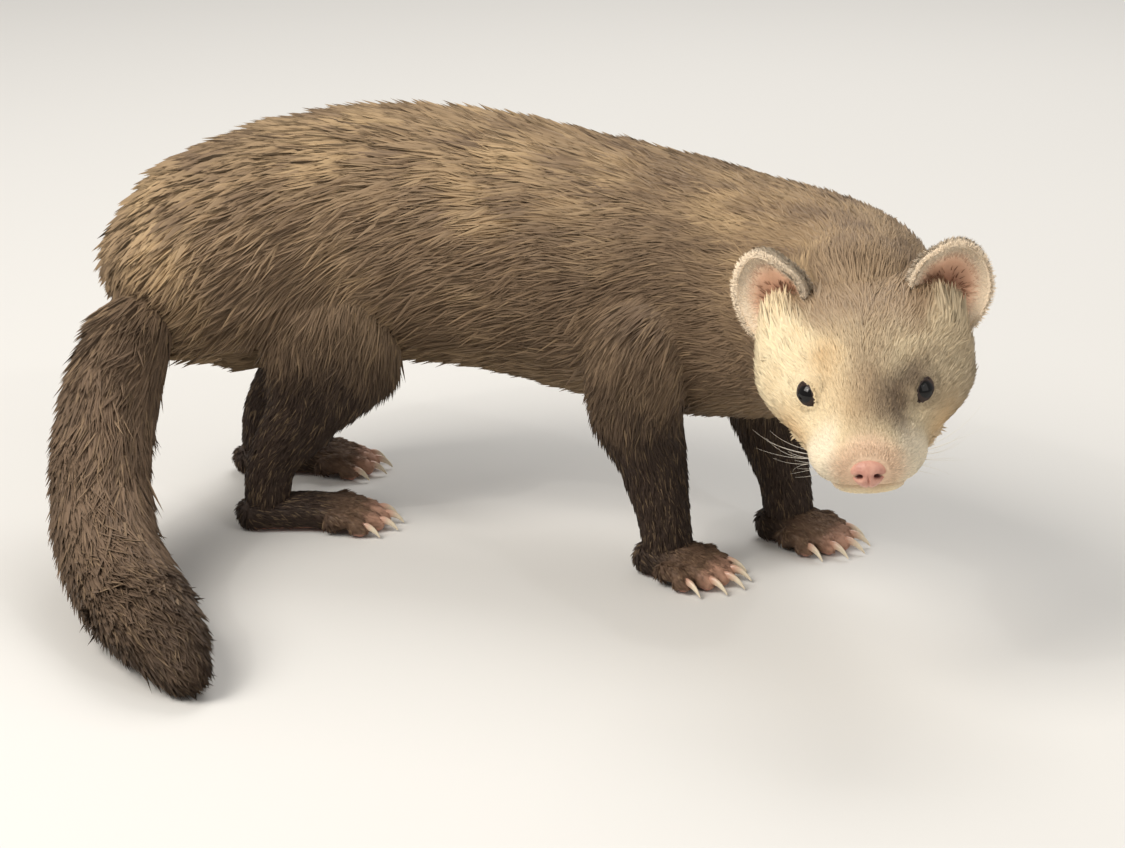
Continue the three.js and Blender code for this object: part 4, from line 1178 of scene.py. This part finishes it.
def ear_coat(side, points, faces, depth):
    """Short fur on the back of an ear, a soft pale rim that reaches down inside, and brown wisps in the
    cup."""
    low = to_ear(points, side)[:, 2]
    cup = 0.3 * smoothstep(3 - low, -2, 6) + 1.5 * (1 - smoothstep(depth, 0.2, 0.5))
    weight = np.where(depth > 0.02, cup, 1.2) + 1.2 * bell(depth, 0, 0.12)
    weight = np.where(low < -9, 0.02, weight)
    root, normal = scattered(points, faces, weight, EAR_TUFTS)
    local, deep = to_ear(root, side), depth[nearest(root, points)]
    ear_turn = turned(*EAR_ANGLES[side])
    outward = unit(local * [0, 1 / EAR_SIZE[1], 1 / EAR_SIZE[2]] + [0, 0, 0.25])
    lie = ((outward + [0.3, 0, 0]) * [1, side, 1]) @ ear_turn.T @ HEAD.T
    lie = lie + 0.16 * rng.normal(size=root.shape)
    wisp = deep > 0.5
    back = smoothstep(-deep, 0.1, 0.5)
    length = np.where(wisp, 2.6, 1.5 + 1.8 * back) * rng.uniform(0.65, 1.25, len(root))
    width = np.where(wisp, 0.13, 0.18 + 0.1 * back)
    lift = 0.22 + 0.16 * np.maximum(back, wisp)
    bare = mixed(EAR_PINK, WISP, smoothstep(deep, 0.45, 0.65))
    # the rim's cream is lightened with painted light
    inside = mixed(EAR_CREAM_LIT, bare, smoothstep(deep, 0.16, 0.45))
    outside = mixed(EAR_CREAM_LIT, TAUPE, 0.75 * smoothstep(-deep, 0.3, 0.8))
    colour = np.where((deep > 0)[:, None], inside, outside)
    around = np.arctan2(local[:, 2], local[:, 1])
    reach = np.where(deep > 0, 0.2 * (1 - deep), 0.22 - 0.26 * deep)
    chart = 0.5 + np.stack([reach * np.cos(around), reach * np.sin(around)], -1)
    front = smoothstep(deep, -0.2, 0.05)
    before = (1 - 0.7 * smoothstep(deep, 0.3, 0.7))[:, None] * (HEAD @ ear_turn @ [0.7, 0, 0.7])
    coat(
        "coat_ear_" + ("left" if side > 0 else "right"), root, normal, lie, length, width, lift, colour,
        chart, SHORT_BLADE, "pale_coat", lit=unit(mixed(normal, 0.4 * normal + before, front)),
    )


def paw_coat(name, points, faces):
    """Short fur over the paw and the upper side of the toes."""
    kind = name.split("_")[0]
    place, turn = paw_frame(name)
    q = (points - place) @ turn
    ball = PAWS[kind]["ball"]
    weight = (q[:, 2] > 1.8) * (1 - 0.93 * smoothstep(q[:, 0], ball + 1, ball + 6))
    root, normal = scattered(points, faces, weight + 1e-4, PAW_TUFTS)
    q = (root - place) @ turn
    forward = np.stack([np.ones(len(q)), 0.05 * q[:, 1], -0.35 * np.ones(len(q))], -1)
    fall = smoothstep(-(normal @ turn)[:, 0], 0.2, 0.8)
    lie = mixed(forward, np.array([0.0, 0, -1]), fall) @ turn.T + 0.12 * rng.normal(size=q.shape)
    length = (3.4 - 1.7 * smoothstep(q[:, 0], ball - 12, ball + 2)) * rng.uniform(0.75, 1.2, len(q))
    lift = np.full(len(q), 0.42)
    chart = np.stack([(q[:, 0] + 26) / 56, np.arctan2(q[:, 2] - 4, q[:, 1]) / (2 * np.pi) + 0.5], -1)
    coat(
        "coat_paw_" + name, root, normal, lie, length, 0.2 + 0.03 * length, lift, paw_colour(q, kind),
        chart, SHORT_BLADE, "dark_coat", clump=0.15,
    )


def whiskers():
    """Long thin tapered curves from the whisker pads, swept back: three rows of four on each side."""
    parts = []
    for side in (1, -1):
        for row in range(3):
            for k in range(4):
                start = np.array([28.5 - 2.1 * k - 0.5 * row, 0.0, -3.8 - 1.7 * row])
                outward = unit(np.array([0.15 - 0.15 * k, 1.0, 0.2 - 0.2 * row]))
                start[1] = crossing(start[None], np.array([[0.0, 1, 0]]))[0] - 0.3
                long = (8.2 + 2.5 * k) * rng.uniform(0.75, 1.15)
                steps = np.linspace(0, 1, 7)[:, None]
                sweep = np.array([-0.85, -0.3, -0.3]) + 0.2 * rng.normal(size=3)
                line = start + long * (outward * steps + 0.55 * sweep * steps**2)
                radii = WHISKER_RADIUS * (1 - 0.75 * steps[:, 0])
                rows = [[*(p * [1, side, 1]), r, r, r] for p, r in zip(line, radii)]
                points, faces = limb_skin(Limb(rows, [0, 0, 1]), even(0.0), 6, 16, cap=0.03)
                parts.append((from_head(points), facing_out(points, faces)))
    return together(parts)


# Finishes
class Shade:
    """A shader value. Arithmetic on it adds Math nodes."""

    def __init__(self, finish, socket):
        self.finish, self.socket = finish, socket

    def math(self, operation, *values):
        return self.finish.node("ShaderNodeMath", {"operation": operation}, values)

    def __add__(self, other):
        return self.math("ADD", self, other)

    def __mul__(self, other):
        return self.math("MULTIPLY", self, other)

    __radd__, __rmul__ = __add__, __mul__

    def above(self, low, high):
        """0 below low, 1 above high, smooth between."""
        inputs = {"Value": self, "From Min": low, "From Max": high}
        return self.finish.node("ShaderNodeMapRange", {"interpolation_type": "SMOOTHSTEP"}, inputs)


class Finish:
    """A material named for the finish it gives. Sizes inside it are metres."""

    def __init__(self, name, **surface):
        self.material = bpy.data.materials.new(name)
        self.material.use_nodes = True
        self.tree = self.material.node_tree
        self.shader = self.tree.nodes["Principled BSDF"]
        for socket, value in surface.items():
            self.shader.inputs[socket.replace("_", " ")].default_value = value

    def node(self, kind, settings=None, inputs=(), output=0):
        """Adds a node: its settings first, then its inputs by place or by name."""
        made = self.tree.nodes.new(kind)
        for setting, value in (settings or {}).items():
            setattr(made, setting, value)
        for key, value in inputs.items() if isinstance(inputs, dict) else enumerate(inputs):
            if isinstance(value, Shade):
                self.tree.links.new(value.socket, made.inputs[key])
            else:
                made.inputs[key].default_value = value
        return Shade(self, made.outputs[output])

    def paint(self, socket, value):
        """Links a value to an input of the shader."""
        self.tree.links.new(value.socket, self.shader.inputs[socket])

    def attribute(self, name):
        """The colour stored on the mesh under a name."""
        return self.node("ShaderNodeAttribute", {"attribute_name": name}, output="Color")

    def parts(self, colour):
        """Red, green and blue of a colour as three values."""
        outputs = self.node("ShaderNodeSeparateColor", inputs=[colour]).socket.node.outputs
        return [Shade(self, outputs[k]) for k in range(3)]

    def strand(self):
        """The three values of the strand attribute."""
        return self.parts(self.attribute("strand"))

    def place(self):
        """Object coordinates."""
        return self.node("ShaderNodeTexCoord", output="Object")

    def noise(self, size, detail):
        """Noise with features about size metres across."""
        inputs = {"Vector": self.place(), "Scale": 1 / size, "Detail": detail}
        return self.node("ShaderNodeTexNoise", inputs=inputs)

    def scaled(self, colour, amount):
        """A colour made darker or lighter."""
        inputs = {"Vector": colour, "Scale": amount}
        return self.node("ShaderNodeVectorMath", {"operation": "SCALE"}, inputs)

    def mix(self, share, a, b):
        """Colour a where share is 0 and b where it is 1."""
        share, a, b = (v if isinstance(v, Shade) or np.isscalar(v) else (*v, 1) for v in (share, a, b))
        return self.node("ShaderNodeMix", {"data_type": "RGBA"}, {0: share, 6: a, 7: b}, output=2)

    def bump(self, height, depth):
        """Bumps the shader's surface by height, 0 to 1, times depth."""
        self.paint("Normal", self.node("ShaderNodeBump", inputs={"Distance": depth, "Height": height}))


def coat_finish():
    """Hair: darker at the root and paler at the tip as painted shade in the coat, each blade its own
    tone, some of them sun-bleached.
    """
    finish = Finish("coat_hair", Roughness=0.6, Specular_IOR_Level=0.22)
    colour = finish.attribute("coat_colour")
    along, tone, pick = finish.strand()
    # painted shade: darker towards each blade's root; tone is each blade's own
    light = (0.84 + 0.2 * along) * (0.78 + 0.44 * tone)
    bleached = finish.mix(0.4, colour, SAND)
    colour = finish.mix(pick.above(0.84, 0.88) * 0.5, colour, bleached)
    finish.paint("Base Color", finish.scaled(colour, light))
    return finish.material


def skin_finish():
    """Skin under the coat, tinted as the coat over it and darkened with painted shade under the blades."""
    finish = Finish("underfur", Roughness=0.85, Specular_IOR_Level=0.2)
    fine = finish.noise(0.0009, 3)
    # the coat's colour darkened as painted shade under the blades, with fine grain
    finish.paint("Base Color", finish.scaled(finish.attribute("coat_colour"), 0.7 + 0.3 * fine))
    finish.bump(fine, 0.0004)
    return finish.material


def paw_finish():
    """Thin-haired skin of the paws, with fine creases."""
    finish = Finish("paw_skin", Roughness=0.6, Specular_IOR_Level=0.35)
    grain = finish.noise(0.0012, 4)
    finish.paint("Base Color", finish.scaled(finish.attribute("coat_colour"), 0.75 + 0.4 * grain))
    finish.bump(grain, 0.00035)
    return finish.material


def ear_finish():
    """Skin of the ears, finely mottled."""
    finish = Finish("ear_skin", Roughness=0.6, Specular_IOR_Level=0.3)
    mottle = finish.noise(0.0035, 4)
    finish.paint("Base Color", finish.scaled(finish.attribute("coat_colour"), 0.76 + 0.4 * mottle))
    finish.bump(finish.noise(0.0011, 3), 0.0002)
    return finish.material


def nose_finish():
    """Moist pink leather, mottled and finely pebbled, with the nostrils painted dark as shade."""
    pale, deep, nostril = srgb(212, 162, 142), srgb(186, 132, 116), srgb(92, 48, 44)
    wet = dict(Coat_Weight=0.08, Coat_Roughness=0.3)
    finish = Finish("nose_leather", Roughness=0.44, Specular_IOR_Level=0.42, **wet)
    dark, *_ = finish.strand()
    colour = finish.mix(finish.noise(0.003, 3).above(0.3, 0.7), pale, deep)
    # the nostrils painted dark as the shade in their hollows
    finish.paint("Base Color", finish.mix(dark.above(0.15, 0.8), colour, nostril))
    pebble = {"Vector": finish.place(), "Scale": 1 / 0.0006}
    finish.bump(finish.node("ShaderNodeTexVoronoi", {"feature": "SMOOTH_F1"}, pebble), 0.00012)
    return finish.material


def eye_finish():
    """A black pupil in a very dark brown iris under a clear gloss, and dark brown round the iris."""
    pupil, rim = srgb(6, 4, 4), srgb(26, 15, 12)
    wet = dict(Coat_Weight=0.4, Coat_Roughness=0.02)
    finish = Finish("eye_gloss", Roughness=0.07, Specular_IOR_Level=0.16, **wet)
    off, *_ = finish.strand()
    iris = finish.mix(finish.noise(0.0006, 2), srgb(34, 20, 14), srgb(50, 30, 19))
    colour = finish.mix(off.above(0.15, 0.17), pupil, iris)
    finish.paint("Base Color", finish.mix(off.above(0.29, 0.33), colour, rim))
    return finish.material


def lid_finish():
    """Bare dark pink-brown lid edges, a little moist."""
    finish = Finish("lid_skin", Roughness=0.45, Specular_IOR_Level=0.4)
    mottle = finish.noise(0.0015, 3)
    finish.paint("Base Color", finish.mix(mottle, srgb(40, 28, 24), srgb(62, 44, 37)))
    finish.bump(finish.noise(0.0006, 2), 0.0001)
    return finish.material


def claw_finish():
    """Ivory horn, pinker at the root, with faint streaks."""
    root, horn = srgb(196, 150, 128), srgb(226, 212, 186)
    finish = Finish("claw_horn", Roughness=0.35, Specular_IOR_Level=0.5, Coat_Weight=0.2)
    along, *_ = finish.strand()
    streaks = finish.noise(0.0009, 2)
    colour = finish.mix(along.above(0.15, 0.7), root, horn)
    finish.paint("Base Color", finish.scaled(colour, 0.85 + 0.25 * streaks))
    finish.bump(streaks, 0.0001)
    return finish.material


def whisker_finish():
    """Pale, slightly glossy bristle."""
    finish = Finish("whisker_bristle", Roughness=0.4, Specular_IOR_Level=0.5)
    finish.paint("Base Color", finish.mix(finish.noise(0.01, 1), srgb(236, 230, 218), srgb(214, 204, 188)))
    return finish.material


COAT = coat_finish()


def lone(value):
    """A strand attribute that holds one value for each point."""
    return np.repeat(value[:, None], 3, axis=1)


# The animal
body_points, body_faces = trunk_and_limbs()
head_points, head_faces = head_skin()
found, ratios, _ = nearest_limb(body_points)
skin_colour = np.vstack([body_colour(body_points, found, ratios), head_colour(to_head(head_points))])
flesh = ["head", "neck", "chest", "loin", "hips", "tail_base", "tail_middle", "tail_tip"]
flesh += [node + side for kind in LEG_NODES.values() for node in kind for side in ("left", "right")]
skin = together([(body_points, body_faces), (head_points, head_faces)])
put("skin", *skin, skin_finish(), "body_coat", flesh, skin_colour)
body_coat(body_points, body_faces)
head_coat(head_points, head_faces)

ear_skin, lid_skin, eye_gloss = ear_finish(), lid_finish(), eye_finish()
for name, side in (("left", 1), ("right", -1)):
    points, faces, off = eye(side)
    put("eyeball_" + name, points, faces, eye_gloss, "eye", ["eye_" + name], strand=lone(off))
    put("lid_" + name, *lid(side), lid_skin, "ear_skin")
    points, faces, depth = ear(side)
    colour = ear_colour(to_ear(points, side), depth)
    put("ear_cup_" + name, points, faces, ear_skin, "ear_skin", ["ear_" + name], colour)
    ear_coat(side, points, facing_out(points, faces), depth)
points, faces, dark = nose()
put("nose_pad", points, faces, nose_finish(), "nose_skin", ["nose"], strand=lone(dark))
put("whiskers", *whiskers(), whisker_finish(), "whisker")

paw_leather, horn = paw_finish(), claw_finish()
for name in LEGS:
    kind, side = name.split("_")
    place, turn = paw_frame(name)
    points, faces = paw_skin(kind, place, turn)
    colour = paw_colour((points - place) @ turn, kind)
    put("paw_" + name, points, faces, paw_leather, "paw", [kind + "paw_" + side], colour)
    paw_coat(name, points, faces)
    points, faces, along = claws(name)
    put("claws_" + name, points, faces, horn, "claw", strand=lone(along))


# Floor, lights and camera
FLOOR_REACH = 6.0
FLOOR_GREYS = (0.70, 0.69, 0.67), (0.74, 0.73, 0.71)
AIM = (0, 0, 0.06)  # the middle of the animal, in the frame's metres
# Lamps: azimuth, elevation, distance, size, power, warmth
LAMPS = {
    "key": (-24, 46, 1.3, 0.8, 14.5, 0.5),
    "fill": (78, 30, 1.5, 1.2, 3.5, 0.3),
    "spark": (-14, 42, 1.3, 0.05, 1.2, 0.3),
    "glint": (74, 40, 1.3, 0.05, 1.0, 0.1),
    "back": (200, 50, 1.4, 0.8, 8, 0.2),
}


def floor():
    """A wide plain pale floor."""
    corners = np.array([[-1, -1, 0], [1, -1, 0], [1, 1, 0], [-1, 1, 0]]) * FLOOR_REACH
    made = raw_mesh("floor", corners, np.array([[0, 1, 2, 3]]))
    finish = Finish("floor_matt", Roughness=0.9, Specular_IOR_Level=0.2)
    finish.paint("Base Color", finish.mix(finish.noise(0.6, 1), *FLOOR_GREYS))
    made.data.materials.append(finish.material)


def aimed(place, target):
    """A rotation that looks from place to target, as Blender's lights and cameras do along -Z."""
    return (Vector(target) - Vector(place)).to_track_quat("-Z", "Y").to_euler()


def lamp(name, azimuth, elevation, distance, size, power, warmth):
    """A square soft light aimed at the middle of the animal, warmth from 0, white, to 1."""
    a, e = np.radians([azimuth, elevation])
    place = np.array([np.sin(a) * np.cos(e), -np.cos(a) * np.cos(e), np.sin(e)]) * distance + AIM
    light = bpy.data.lights.new(name, "AREA")
    light.size, light.energy, light.color = size, power, (1, 1 - 0.1 * warmth, 1 - 0.25 * warmth)
    made = bpy.data.objects.new(name, light)
    made.location = place
    made.rotation_euler = aimed(place, AIM)
    bpy.context.scene.collection.objects.link(made)


floor()
for name, settings in LAMPS.items():
    lamp(name, *settings)
world = bpy.data.worlds.new("studio")
world.use_nodes = True
background = world.node_tree.nodes["Background"].inputs
background["Color"].default_value, background["Strength"].default_value = (1, 0.98, 0.95, 1), 0.4
bpy.context.scene.world = world
bpy.context.scene.view_settings.view_transform = "Standard"

# Place, turn and lens keep the photograph's framing of the head and back
CAMERA_PLACE = np.array([472.7, -707.3, 287.7])
CAMERA_AZIMUTH, CAMERA_ELEVATION = np.radians([33, 17])
CAMERA_LENS, CAMERA_SENSOR = 97.2, 36.0
camera = bpy.data.objects.new("camera", bpy.data.cameras.new("camera"))
camera.data.lens, camera.data.sensor_width = CAMERA_LENS, CAMERA_SENSOR
camera.location = to_frame(CAMERA_PLACE)
camera.rotation_euler = (np.pi / 2 - CAMERA_ELEVATION, 0, CAMERA_AZIMUTH)
bpy.context.scene.collection.objects.link(camera)
bpy.context.scene.camera = camera
